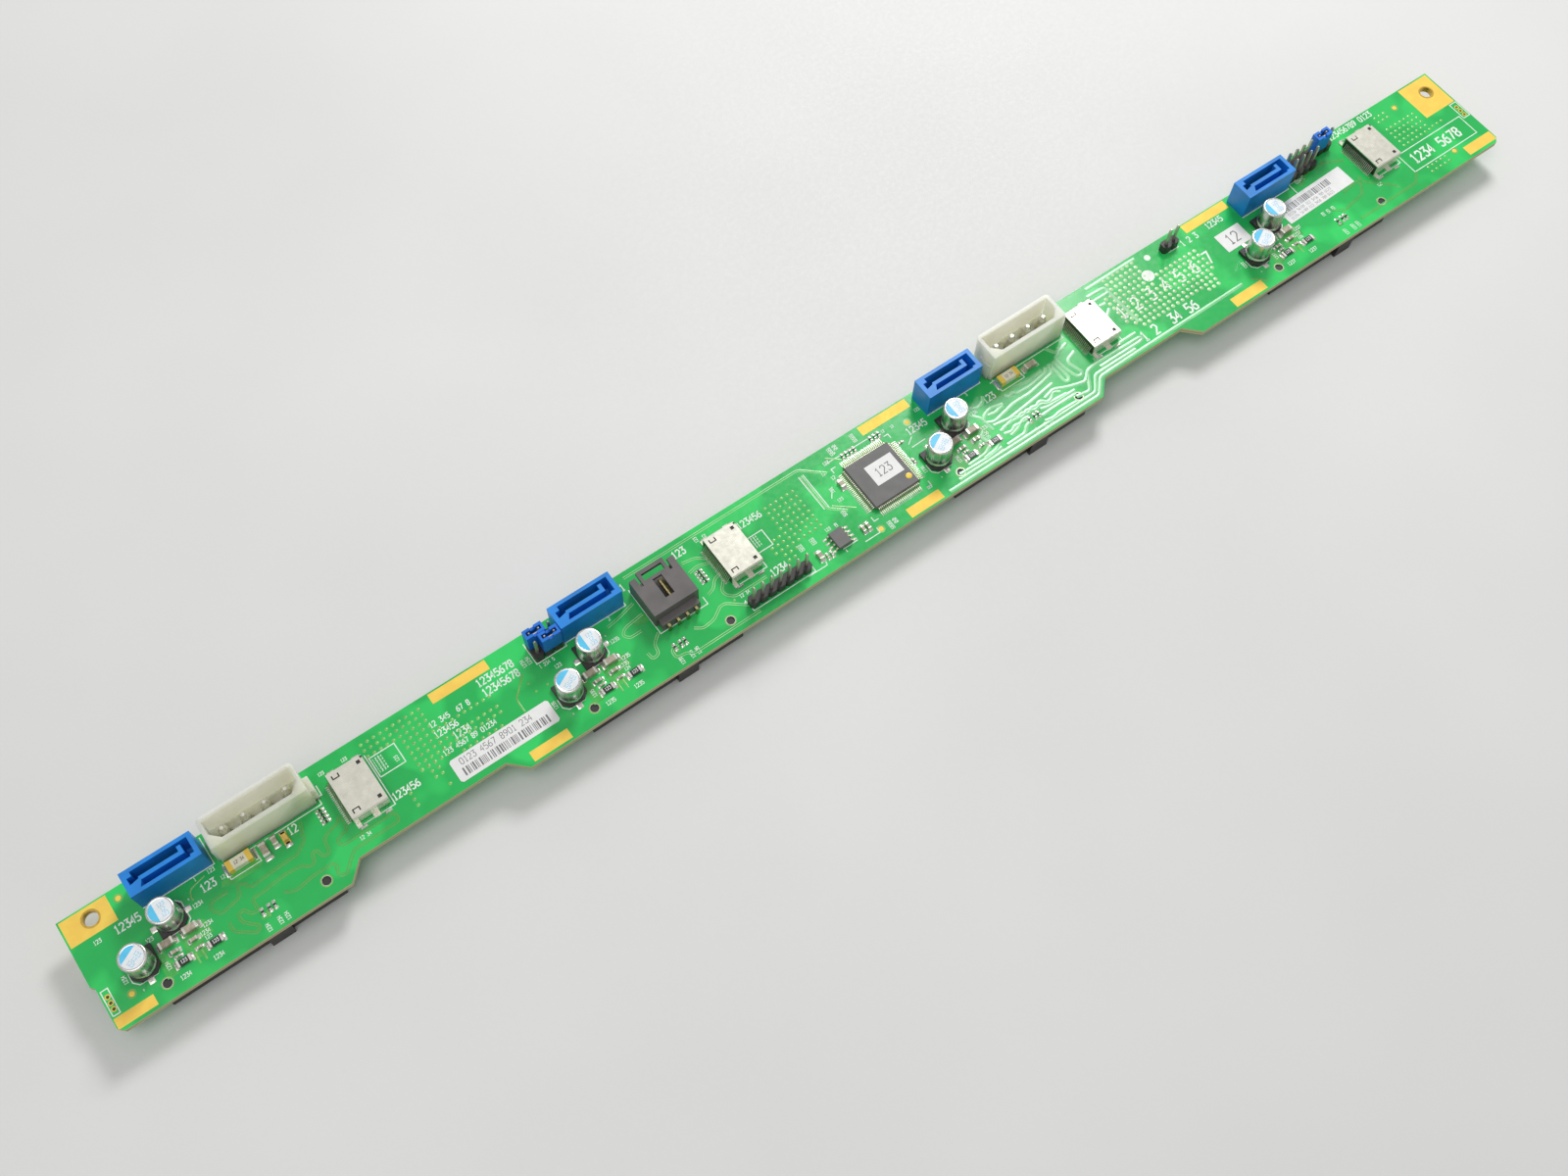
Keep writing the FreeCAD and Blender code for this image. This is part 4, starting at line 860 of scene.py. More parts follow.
class BACKPLANE_OT_gold_areas(Step, bpy.types.Operator):
    """Bare gold areas, hole linings, fiducials and the rings of the empty wire holes"""
    bl_idname = "backplane.gold_areas"
    bl_label = "Gold areas"
    hole_radius = 1.75
    collar_radius = 2.15
    lining = 0.04
    post_hole_radius = 1.1
    post_ring_radius = 1.45
    post_lining_foot = -0.7
    post_spacing = 37.9
    post_across = 3.65
    wire_hole_pitch = 1.5
    # Along, and across of the first, of each row of three wire holes.
    wire_holes = ((2.1, 5.3), (LENGTH - 1.45, 12.0))

    def holes(self):
        """Middle of each mounting hole, from the record's mounts."""
        mounts = frame["record"]["mounts"]
        return [to_board(m["pos_m"]) for m in mounts if m["kind"] == "bore"]

    def make(self):
        depth = sizes().plating
        gold = Work("gold", "bore", "tented")
        holes = self.holes()
        for bay, left, right, near, far in GOLD_AREAS:
            self.area_round_holes(gold, at(bay, left), at(bay, right), near, far, holes, depth)
            self.area_below(gold, at(bay, left), at(bay, right), near, far, holes, depth)
        for x, y, _ in holes:
            radius = self.hole_radius
            gold.add(*ring(x, y, radius, self.collar_radius, depth, depth * 2.2, 40), "bore")
            gold.add(*ring(x, y, radius - self.lining, radius, -THICKNESS, depth, 40), "bore")
        for bay, offset, across in FIDUCIALS:
            x = at(bay, offset)
            gold.add(*dome(x, across, FIDUCIAL_RADIUS, 0, depth * 1.5, 20, 2))
            clearing = ring(x, across, FIDUCIAL_RADIUS + 0.02, FIDUCIAL_CLEARING, 0, depth * 0.4)
            gold.add(*clearing, "tented")
        gold.piece("bare_gold")
        self.collars(depth)

    def area_below(self, gold, x0, x1, y0, y1, holes, depth):
        """The same area on the drive side, at the two screw corners only."""
        if any(x0 < x < x1 and y0 < y < y1 for x, y, _ in holes):
            area = Work("gold")
            self.area_round_holes(area, x0, x1, y0, y1, holes, depth)
            gold.add(*turned_under(area.points, area.faces))

    def area_round_holes(self, gold, x0, x1, y0, y1, holes, depth):
        """Pad with its screw hole left open, or a plain pad."""
        inside = [h for h in holes if x0 < h[0] < x1 and y0 < h[1] < y1]
        if not inside:
            gold.add(*plate(x0, x1, y0, y1, 0, depth, 0.01))
            return
        x, y, _ = inside[0]
        sides = 48
        around = circle(x, y, self.hole_radius, sides)
        outer = []
        for px, py in around:
            dx, dy = px - x, py - y
            limits = [((x1 if dx > 0 else x0) - x) / dx if abs(dx) > 1e-9 else 1e9,
                      ((y1 if dy > 0 else y0) - y) / dy if abs(dy) > 1e-9 else 1e9]
            outer.append((x + dx * min(limits), y + dy * min(limits)))
        for corner in ((x1, y1), (x0, y1), (x0, y0), (x1, y0)):
            gaps = [math.hypot(px - corner[0], py - corner[1]) for px, py in outer]
            outer[gaps.index(min(gaps))] = corner
        points = [(px, py, depth) for px, py in around] + [(px, py, depth) for px, py in outer]
        points += [(px, py, 0) for px, py in outer]
        faces = []
        for i in range(sides):
            j = (i + 1) % sides
            faces.append([i, sides + i, sides + j, j])
            faces.append([sides + i, 2 * sides + i, 2 * sides + j, sides + j])
        gold.add(points, faces)

    def collars(self, depth):
        """Pale rings and tinned linings at the drive posts' holes, gold rings at the wire holes."""
        work = Work("tented", "gold", "tin")
        for bay in range(4):
            low, high = node_box(f"drive_connector_housing_{bay + 1}")
            centre = (low[0] + high[0]) / 2
            for side in (-1, 1):
                x, y = centre + side * self.post_spacing / 2, self.post_across
                radius = self.post_hole_radius
                work.add(*ring(x, y, radius + 0.05, self.post_ring_radius, 0, depth, 28), "tented")
                lining = ring(x, y, radius - 0.05, radius + 0.06, self.post_lining_foot,
                              depth * 1.3, 28)
                work.add(*lining, "tin")
        for along, first in self.wire_holes:
            for step in range(3):
                y = first + step * self.wire_hole_pitch
                work.add(*ring(along, y, 0.4, 0.62, 0, depth, 16), "gold")
        work.piece("hole_collars")


class BACKPLANE_OT_tracks(Step, bpy.types.Operator):
    """Track pairs and single tracks under the mask, and the covered vias, with a painted highlight
    colour where the key light's glare falls
    """
    bl_idname = "backplane.tracks"
    bl_label = "Tracks and vias"
    # How far each kind of relief starts below the mask, so that no gap shows at its edge.
    ridge_foot = -0.004
    via_foot = -0.002
    single_foot = -0.01
    patch_foot = -0.01
    patch_top = 0.004

    def make(self):
        s = sizes()
        work = Work("track", "pale_track", "ridge", "mask", "tented")
        for bay, *corners in TRACK_PAIRS:
            raised = bay == 2
            path = eased(placed(bay, corners))
            width = s.ridge_width * (1 if raised else 0.8)
            height = s.ridge_height if raised else s.track_height
            # Bay 2's swellings take the paler ridge colour, which is partly painted highlight; the
            # other bays take the plain mask
            work.add(*swelling(path, width, self.ridge_foot, height), "ridge" if raised else "mask")
            # Track edges in bays 1 and 2, where the key light's glare falls, take the painted
            # highlight colour
            shade = "pale_track" if bay in (1, 2) else "track"
            for side in (-0.5, 0.5):
                line = offset_line(path, side * s.track_pair)
                work.add(*ribbon(line, s.track_width, 0, height * 0.62), shade)
        for bay, *corners in SINGLE_TRACKS:
            line = ribbon(eased(placed(bay, corners)), s.track_pair * 0.9, self.single_foot,
                          s.track_height)
            work.add(*line, "tented")
        work.piece("tracks", smooth_angle=30)
        vias = Work("tented", "pale_track")
        radius = s.via_size / 2
        for bay, offset, across, columns, rows in VIA_FIELDS:
            # Vias of bay 2, where the key light's glare falls, take the painted highlight colour
            size, shade = (radius * 1.2, "pale_track") if bay == 2 else (radius, "tented")
            for i in range(columns):
                for j in range(rows):
                    x, y = at(bay, offset) + i * s.via_pitch, across - j * s.via_pitch
                    vias.add(*button(x, y, size, self.via_foot, s.via_height), shade)
                    under = button(x, y, radius, self.via_foot, s.track_height)
                    vias.add(*turned_under(*under), "tented")
        for bay, offset, across in LONE_VIAS:
            via = button(at(bay, offset), across, radius * 0.8, self.via_foot, s.track_height)
            vias.add(*via, "tented")
        vias.piece("covered_vias", smooth_angle=50)
        patches = Work("patch")
        for bay in range(4):
            for corners in COPPER_PATCHES:
                outline = placed(bay, corners)
                patches.add(*stacked([(outline, self.patch_foot), (outline, self.patch_top)]))
        patches.piece("copper_patches")


# Printed outlines: bay, then offset and across of each corner.
PRINT_LINES = (
    (0, (-23.75, 3.95), (-22.1, 3.95), (-22.1, 10.05), (-23.75, 10.05), (-23.75, 3.95)),
    (3, (65.9, 11.1), (68.2, 11.1), (68.2, 16.6), (65.9, 16.6), (65.9, 11.1)),
    (0, (9.9, 15.8), (17.2, 15.8), (17.2, 19.6)), (0, (9.9, 15.8), (9.9, 20.0)),
    (2, (11.6, 15.9), (18.9, 15.9), (18.9, 19.6)), (2, (11.6, 15.9), (11.6, 20.0)),
    (0, (47.8, 17.4), (54.2, 17.4), (54.2, 22.7), (47.8, 22.7), (47.8, 17.4)),
    (1, (42.0, 14.2), (46.3, 14.2), (46.3, 18.9), (42.0, 18.9), (42.0, 14.2)),
    (0, (90.7, 26.5), (90.7, 20.4), (98.8, 20.4), (98.8, 21.8)),
    (1, (11.3, 24.0), (11.3, 10.3), (24.6, 10.3), (24.6, 12.4)),
    (1, (31.4, 5.0), (32.2, 5.8), (32.5, 2.5), (50.4, 2.5), (50.4, 5.0)),
    (1, (59.2, 3.4), (63.6, 3.4)), (1, (48.2, 2.3), (53.6, 2.2), (53.9, 3.2)),
    (1, (64.8, 1.9), (69.3, 1.9), (69.3, 3.4)), (1, (59.7, 2.2), (59.7, 3.0)),
    (3, (41.2, 5.5), (41.2, 12.3), (65.2, 12.3), (65.2, 5.5), (41.2, 5.5)),
    (3, (-32.2, 23.9), (-28.6, 23.9)), (3, (9.6, 18.0), (9.6, 22.0), (18.8, 22.4)),
    (3, (-29.0, 26.0), (-29.0, 24.6)), (2, (-37.5, 24.6), (-24.6, 24.4)),
    (2, (-17.0, 16.1), (-12.8, 16.2)), (2, (-17.2, 17.2), (-15.2, 18.6)),
    (1, (62.0, 25.4), (62.0, 14.6)), (1, (63.3, 25.4), (63.3, 14.6)),
    (1, (65.2, 16.0), (67.2, 18.6)),
)
# The same outlines in every bay.
BAY_PRINT = (
    ((-7.6, 14.2), (-7.6, 12.2), (-2.2, 12.2), (-1.1, 13.3), (-1.1, 17.6), (-2.1, 18.8)),
    ((-10.9, 14.2), (-10.9, 8.0), (-12.1, 6.7), (-16.2, 6.7), (-17.3, 7.9), (-17.3, 10.2)),
    ((-8.3, 21.1), (8.6, 21.1), (8.6, 28.2)),
)
# Corner beside each cable connector, from the left end of its shell, and its two ends.
CABLE_CORNER = (9.4, 10.1)
CABLE_ENDS = (1.4, 24.0)
# Steps beside each power connector: across of its foot, its step and its top.
POWER_STEPS = (19.5, 21.4, 24.0)
PRINTED_DISCS = ((2, 65.4, 21.4, 1.75), (2, 69.0, 25.9, 0.9))
# Plain numbers: height, turn and figures, then bay, offset and across of every place.
NUMBERS = (
    (1.8, 0, "12345", (0, -15.4, 19.2), (2, -15.4, 19.3)),
    (1.8, 0, "123", (0, 3.6, 16.7), (1, 24.8, 24.4), (2, 6.0, 15.5)),
    (1.8, 0, "12", (0, 25.0, 17.2)),
    (0.9, 0, "123", (0, -20.3, 19.7), (0, 6.4, 19.8), (0, 93.6, 16.9), (1, 69.0, 24.3)),
    (1.7, 0, "123456", (0, 47.6, 10.8), (1, 42.0, 22.0)),
    (1.8, 0, "12345678", (0, 76.8, 23.2), (0, 76.8, 20.4)),
    (1.3, 0, "12 345  67 8", (0, 62.8, 20.9)), (1.5, 0, "123456", (0, 62.6, 18.1)),
    (1.7, 0, "1234", (0, 66.0, 15.5)), (1.2, 0, "123 4567 89 01234", (0, 62.0, 13.4)),
    (0.75, 0, "123", (0, 36.6, 25.4), (0, 42.4, 25.4)),
    (0.85, 0, "12 34", (0, 37.0, 7.2), (1, 31.8, 7.0)),
    (0.8, 0, "12", (0, 8.2, 17.0), (1, 67.0, 22.2)),
    (0.5, 0, "1 2 3 4", (0, 48.2, 21.6), (0, 48.2, 20.8), (0, 48.2, 20.0), (0, 48.2, 19.2),
     (0, 48.2, 18.4), (1, 41.9, 18.0), (1, 41.9, 17.2), (1, 41.9, 16.4), (1, 41.9, 15.6)),
    (0.8, 90, "123", (0, 53.3, 18.4), (1, 32.2, 25.0), (1, 67.0, 17.0)),
    (0.85, 0, "1 234 5", (0, 90.8, 19.0)), (0.85, 90, "1234", (0, 88.6, 21.2), (0, 90.0, 21.2)),
    (1.8, 0, "1", (1, 10.0, 24.5)), (1.8, 0, "1234", (1, 41.4, 7.1)),
    (0.8, 90, "12", (1, 34.4, 25.0)),
    (0.8, 0, "123", (1, 58.6, 9.4), (1, 66.0, 14.2), (2, -10.2, 23.7), (3, 29.4, 7.6)),
    (0.7, 0, "123", (1, 53.8, 8.4), (1, 53.8, 9.4), (1, 50.4, 9.6), (1, 50.4, 8.6),
     (2, -21.0, 4.5)),
    (0.9, 0, "12", (1, 68.4, 20.0)), (3.7, 0, "1 2 3 4 5 6 7", (2, 51.2, 14.8)),
    (2.8, 0, "1 2  34 56", (2, 51.4, 6.3)),
    (0.6, 0, "123 456", (2, -34.9, 27.2), (2, -34.9, 26.4), (2, -35.0, 2.5), (2, -35.0, 1.7)),
    (0.6, 0, "1234", (2, -34.9, 25.6)),
    (0.6, 0, "123", (2, -28.0, 27.2), (2, -28.0, 26.3), (2, -28.0, 25.4), (2, -42.4, 11.2),
     (2, -42.4, 10.3), (2, -35.0, 0.9)),
    (0.6, 90, "123", (2, -45.0, 9.0), (2, -44.2, 6.0)),
    (0.7, 0, "12", (2, -20.6, 23.6), (2, -17.9, 23.4)), (1.7, 0, "1 2 3", (3, -27.6, 23.2)),
    (1.7, 0, "12345", (3, -18.4, 23.6)), (1.5, 0, "12", (3, -4.6, 22.4)),
    (1.7, 0, "123456789 0123", (3, 29.6, 26.5)), (3.0, 0, "1234 5678", (3, 43.6, 7.4)),
    (0.7, 90, "123", (3, 10.8, 8.8), (3, 12.6, 8.8), (3, 14.4, 8.8)),
    (0.8, 0, "123456", (3, 11.4, 21.0)),
)
# Plain numbers beside the small parts, in every bay: offset, across, height, turn, figures.
# The last figure counts on from bay to bay.
BAY_NUMBERS = (
    (0.4, 14.7, 0.9, 0, "1234"), (-11.2, 13.7, 0.9, 0, "123"), (0.2, 9.8, 0.9, 0, "1234"),
    (-1.1, 8.4, 0.9, 0, "1234"), (-0.6, 7.2, 0.8, 0, "123"), (-8.7, 2.4, 0.95, 0, "1234"),
    (-1.1, 2.2, 0.95, 0, "1234"), (-9.2, 5.8, 0.8, 90, "1234"), (-18.0, 8.4, 0.8, 90, "1234"),
    (3.3, 20.0, 0.9, 0, "1"), (0.2, 16.8, 0.9, 0, "+"), (-16.3, 4.8, 0.9, 0, "+"),
    (11.9, 0.8, 0.8, 90, "1234"), (14.7, 0.8, 0.8, 90, "1234"), (16.4, 0.8, 0.8, 90, "1234"),
)


class BACKPLANE_OT_board_print(Step, bpy.types.Operator):
    """White outlines and plain numbers on the board"""
    bl_idname = "backplane.board_print"
    bl_label = "Board print"

    def make(self):
        lines = Work("print")
        for bay, *corners in PRINT_LINES:
            lines.add(*self.line(placed(bay, corners)))
        for bay in range(4):
            for corners in BAY_PRINT:
                lines.add(*self.line(placed(bay, corners)))
            left = node_box(f"cable_connector_shell_{bay + 1}")[0][0]
            x, y = CABLE_CORNER
            edge = [(left + x, CABLE_ENDS[1]), (left + x, y), (left + CABLE_ENDS[0], y)]
            lines.add(*self.line(edge))
        foot, step, top = POWER_STEPS
        for number in (1, 2):
            box_low, box_high = node_box(f"power_connector_housing_{number}")
            right = box_high[0] - 0.6
            edge = [(box_low[0] + 0.2, foot), (right, foot), (right, step), (right + 1.0, step),
                    (right + 1.0, top)]
            lines.add(*self.line(edge))
        self.controller_outline(lines)
        for bay, offset, across, radius in PRINTED_DISCS:
            disc = circle(at(bay, offset), across, radius, 32)
            lines.add(*stacked([(disc, 0.0), (disc, sizes().print_height)]))
        lines.piece("printed_outlines")
        numbers = Work("print")
        for tall, turn, figures, *places in NUMBERS:
            for bay, offset, across in places:
                write_number(numbers, figures, at(bay, offset), across, tall, 0.0, turn)
        for bay in range(4):
            for offset, across, tall, turn, figures in BAY_NUMBERS:
                if figures[-1].isdigit():
                    figures = figures[:-1] + str((int(figures[-1]) + bay) % 10)
                write_number(numbers, figures, at(bay, offset), across, tall, 0.0, turn)
        numbers.piece("printed_numbers")
        self.drive_side()

    def line(self, path):
        """Printed line along a path."""
        return ribbon(path, sizes().print_width, 0.0, sizes().print_height)

    def drive_side(self):
        """An outline round each drive connector, on the other side of the board."""
        lines = Work("print")
        for i in range(1, 5):
            a, b = node_box(f"drive_connector_housing_{i}")
            x0, x1, y0, y1 = a[0] - 0.5, b[0] + 0.5, max(0.25, a[1] - 0.5), b[1] + 0.5
            outline = [(x0, y0), (x0, y1), (x1, y1), (x1, y0)]
            lines.add(*turned_under(*self.line(outline)))
        lines.piece("drive_side_print")

    def controller_outline(self, lines):
        """Corner marks round the controller chip."""
        x, y, _ = middle(node_box("controller_chip_body"))
        reach, arm = 8.75, 1.3
        for sx in (-1, 1):
            for sy in (-1, 1):
                cx, cy = x + sx * reach, y + sy * reach
                lines.add(*self.line([(cx - sx * arm, cy), (cx, cy), (cx, cy - sy * arm)]))


# ------------------------------------------------------------------ capacitors
class BACKPLANE_OT_capacitors(Step, bpy.types.Operator):
    """Round cans with crimped feet and printed tops, their bases, and solder at the terminals"""
    bl_idname = "backplane.capacitors"
    bl_label = "Capacitors"
    sides = 48
    edge = 0.42
    mark_line = 0.95
    # Rows of figures on a top: how far above its middle, and the figures.
    rows = ((1.05, "123"), (-0.15, "12"), (-1.3, "123"))

    def make(self):
        dress("capacitor_bases", "black")
        dress("capacitor_terminals", "tin")
        cans = Work("can", "can_top", "can_mark")
        for number, (low, high) in enumerate(solids_of("capacitor_cans")):
            self.can(cans, low, high, number % 2 == 0)
        cans.piece("capacitor_cans_printed", replaced=["capacitor_cans"],
                   smooth_angle=40)
        self.solder()

    def can(self, cans, low, high, left_one):
        """A left can's mark faces the far edge; a right can's mark faces left."""
        x, y, _ = middle((low, high))
        radius = (high[0] - low[0]) / 2
        foot, top = low[2], high[2]
        profile = [(radius - 0.3, foot), (radius - 0.06, foot + 0.12), (radius, foot + 0.35),
                   (radius, foot + 0.75), (radius - 0.14, foot + 0.95), (radius - 0.22, foot + 1.2),
                   (radius - 0.14, foot + 1.45), (radius, foot + 1.65), (radius, top - self.edge)]
        for step in range(1, 6):
            turn = math.pi / 2 * step / 5
            profile.append((radius - self.edge * (1 - math.cos(turn)),
                            top - self.edge * (1 - math.sin(turn))))
        face = radius - self.edge
        profile += [(face - 0.12, top), (face - 0.2, top - 0.05)]
        levels = [(circle(x, y, r, self.sides), up) for r, up in profile]
        cans.add(*stacked(levels), "can")
        turn = 118 if left_one else 180
        self.top_print(cans, x, y, face - 0.22, top - 0.05, turn)

    def top_print(self, cans, x, y, radius, up, turn):
        """White disc with a blue segment at this turn, and figures that have it on their left."""
        lift = 0.02
        cut = math.acos(self.mark_line / radius)
        steps = self.sides
        white = [(x + radius * math.cos(a), y + radius * math.sin(a))
                 for a in (cut + (2 * math.pi - 2 * cut) * i / steps for i in range(steps + 1))]
        blue = [(x + radius * math.cos(a), y + radius * math.sin(a))
                for a in (-cut + 2 * cut * i / 16 for i in range(17))]
        for outline, ink in ((white, "can_top"), (blue, "can_mark")):
            points, faces = stacked([(outline, up - 0.01), (outline, up + lift)])
            cans.add(turned_about(points, x, y, turn), faces, ink)
        unit = 0.85
        for row, figures in self.rows:
            across = len(figures) * unit * 0.68 / 2
            start = len(cans.points)
            write_number(cans, figures, x + 0.75 - across, y + row - 0.4, unit, up + lift, 0,
                         line=0.1, depth=0.012, ink="can_mark")
            cans.points[start:] = turned_about(cans.points[start:], x, y, turn - 180)

    def solder(self):
        """Flat solder where each terminal meets its pad, spread past its end."""
        solder = Work("solder")
        for low, high in solids_of("capacitor_terminals"):
            wide = high[0] - low[0] > high[1] - low[1]
            grow = (0.45, 0.3) if wide else (0.3, 0.45)
            box = (low[0] - grow[0], high[0] + grow[0], low[1] - grow[1], high[1] + grow[1])
            solder.add(*stacked([(oblong(*box), 0.0), (oblong(*box, 0.12), 0.06),
                                 (oblong(*box, 0.34), high[2] * 0.8)]))
        solder.piece("capacitor_solder", smooth_angle=60)


# ------------------------------------------------------------------ connectors
class BACKPLANE_OT_data_connectors(Step, bpy.types.Operator):
    """Blue data connectors and their gold contacts"""
    bl_idname = "backplane.data_connectors"
    bl_label = "Data connectors"

    def make(self):
        dress_all("blue", *(f"data_connector_housing_{i}" for i in range(1, 5)))
        dress("data_connector_contacts", "gold_pin")


class BACKPLANE_OT_drive_connectors(Step, bpy.types.Operator):
    """Black drive connectors, their contacts and the soldered tails on the drive side"""
    bl_idname = "backplane.drive_connectors"
    bl_label = "Drive connectors"

    def make(self):
        for i in range(1, 5):
            dress(f"drive_connector_housing_{i}", "black")
            dress(f"drive_connector_contacts_{i}", "gold_pin")
        solder = Work("solder")
        for i in range(1, 5):
            for low, high in solids_of(f"drive_connector_contacts_{i}"):
                if high[2] > -THICKNESS - 0.2:
                    box = (low[0] - 0.12, high[0] + 0.12, high[1] - 1.1, high[1] + 0.25)
                    levels = [(oblong(*box, 0.08)[::-1], -THICKNESS - 0.1),
                              (oblong(*box)[::-1], -THICKNESS)]
                    points, faces = stacked(levels)
                    solder.add(points, [face[::-1] for face in faces])
        solder.piece("drive_tail_solder")


class BACKPLANE_OT_power_connectors(Step, bpy.types.Operator):
    """Cream power connectors and their tin plated pins"""
    bl_idname = "backplane.power_connectors"
    bl_label = "Power connectors"

    def make(self):
        for i in (1, 2):
            dress(f"power_connector_housing_{i}", "cream")
            dress(f"power_connector_pins_{i}", "tin")


class BACKPLANE_OT_cable_connectors(Step, bpy.types.Operator):
    """Flat cable connectors: folded shells, black bodies, leads and their solder"""
    bl_idname = "backplane.cable_connectors"
    bl_label = "Cable connectors"

    def make(self):
        solder = Work("solder")
        for i in range(1, 5):
            dress(f"cable_connector_shell_{i}", "shell")
            dress(f"cable_connector_body_{i}", "black")
            dress(f"cable_connector_leads_{i}", "lead")
            for low, high in solids_of(f"cable_connector_leads_{i}"):
                box = (low[0] - 0.55, low[0] + 0.5, low[1] - 0.03, high[1] + 0.03)
                solder.add(*self.mound(box, (0.0, 0.0), (0.0, 0.04), (0.06, 0.09)))
            low, high = node_box(f"cable_connector_shell_{i}")
            for y0, y1 in ((low[1] - 0.5, low[1] + 0.15), (high[1] - 0.15, high[1] + 0.5)):
                for x0, x1 in ((low[0] + 0.3, low[0] + 2.2), (high[0] - 2.3, high[0] - 0.5)):
                    solder.add(*self.mound((x0, x1, y0, y1), (0.0, 0.0), (0.05, 0.12), (0.22, 0.3)))
        solder.piece("cable_connector_solder")

    def mound(self, box, *levels):
        """Solder over a pad: how far in and how high at each level."""
        return stacked([(oblong(*box, inset), up) for inset, up in levels])


HEADERS = ("programming", "selector", "test", "signal", "reset")


class BACKPLANE_OT_headers(Step, bpy.types.Operator):
    """Pin headers, jumper caps and the side entry connector"""
    bl_idname = "backplane.headers"
    bl_label = "Headers and jumpers"

    def make(self):
        for name in HEADERS:
            dress(f"{name}_header_base", "black")
            dress(f"{name}_header_pins", "pin")
        dress("side_entry_header_housing", "grey")
        dress("side_entry_header_pins", "brass")
        self.blade()
        dress("jumper_caps", "jumper")
        dress("jumper_clips", "tin")

    def blade(self):
        """Brass blade out of the back wall, which shows in the slot of the side entry connector."""
        low, high = node_box("side_entry_header_housing")
        x = (low[0] + high[0]) / 2 + 0.3
        blade = Work("brass")
        near, far, foot, top = low[1] + 4.0, low[1] + 9.9, high[2] - 2.4, high[2] - 1.1
        blade.add(*plate(x - 0.28, x + 0.28, near, far, foot, top, 0.08))
        blade.piece("side_entry_header_blade")


class BACKPLANE_OT_tail_solder(Step, bpy.types.Operator):
    """Solder cones on the drive side, round every pin that comes through the board"""
    bl_idname = "backplane.tail_solder"
    bl_label = "Tail solder"
    height = 0.9

    def make(self):
        solder = Work("solder")
        nodes = [f"{name}_header_pins" for name in HEADERS]
        nodes += ["side_entry_header_pins", "power_connector_pins_1", "power_connector_pins_2"]
        for node in nodes:
            for low, high in solids_of(node, below=-THICKNESS - 0.05):
                x, y, _ = middle((low, high))
                self.cone(solder, x, y, max(high[0] - low[0], high[1] - low[1]) / 2)
        solder.piece("tail_solder", smooth_angle=50)

    def cone(self, solder, x, y, pin):
        """Concave cone between the pad and the pin."""
        levels = []
        for reach, fall in ((0.62, 0.0), (0.6, 0.06), (0.36, 0.3), (0.2, 0.6), (0.1, 0.9)):
            levels.append((circle(x, y, pin + reach, 16), -THICKNESS - fall * self.height))
        points, faces = stacked(levels)
        solder.add(points, [face[::-1] for face in faces])


# ------------------------------------------------------------------ chips
def add_leads(leads, strip, places, x, y, pad_half, pad_levels):
    """Bent leads and soldered pads round a chip, each at a place along a side and a turn."""
    for place, turn in places:
        points = [(d, place + side, up) for d, side, up in strip[0]]
        leads.add(set_round(points, x, y, turn), strip[1], "lead")
        pad = stacked([(oblong(near, far, place - pad_half, place + pad_half, inset), up)
                       for near, far, inset, up in pad_levels])
        leads.add(set_round(pad[0], x, y, turn), pad[1], "solder")


class BACKPLANE_OT_controller_chip(Step, bpy.types.Operator):
    """Controller chip: matt body, bent leads on soldered pads, first pin dimple"""
    bl_idname = "backplane.controller_chip"
    bl_label = "Controller chip"
    lead_width = 0.24
    lead_thickness = 0.14

    def make(self):
        dress("controller_chip_body", "chip")
        low, high = node_box("controller_chip_body")
        x, y, _ = middle((low, high))
        half = (high[0] - low[0]) / 2
        lead_low, lead_high = node_box("controller_chip_leads")
        outer = (lead_high[0] - lead_low[0]) / 2
        leads = Work("lead", "solder")
        profile = [(half - 0.1, 0.85), (half + 0.28, 0.85), (half + 0.42, 0.76),
                   (half + 0.62, 0.22), (half + 0.76, 0.1), (outer, 0.1)]
        strip = bent_strip(profile, self.lead_thickness, self.lead_width)
        pad_levels = ((half + 0.6, outer + 0.75, 0.0, 0.0), (half + 0.6, outer + 0.75, 0.02, 0.05),
                      (half + 0.75, outer + 0.25, 0.05, 0.13))
        add_leads(leads, strip, self.places(), x, y, 0.14, pad_levels)
        leads.piece("controller_leads", replaced=["controller_chip_leads"])
        marks = Work("chip", "yellow")
        top = high[2]
        marks.add(*ring(low[0] + 2.4, high[1] - 1.3, 0.7, 0.82, top, top + 0.015, 28), "chip")
        dot = dome(high[0] - 1.55, low[1] + 2.65, 0.85, top - 0.01, top + 0.05, 24, 3)
        marks.add(*dot, "yellow")
        marks.piece("chip_marks", smooth_angle=60)

    def places(self):
        """Offset along the side and the side's turn, for every lead."""
        boxes = solids_of("controller_chip_leads")
        x, y, _ = middle(node_box("controller_chip_body"))
        right = [middle(box)[1] - y for box in boxes if middle(box)[0] > x + 6.9]
        return [(place, turn) for place in right for turn in (0, 90, 180, 270)]


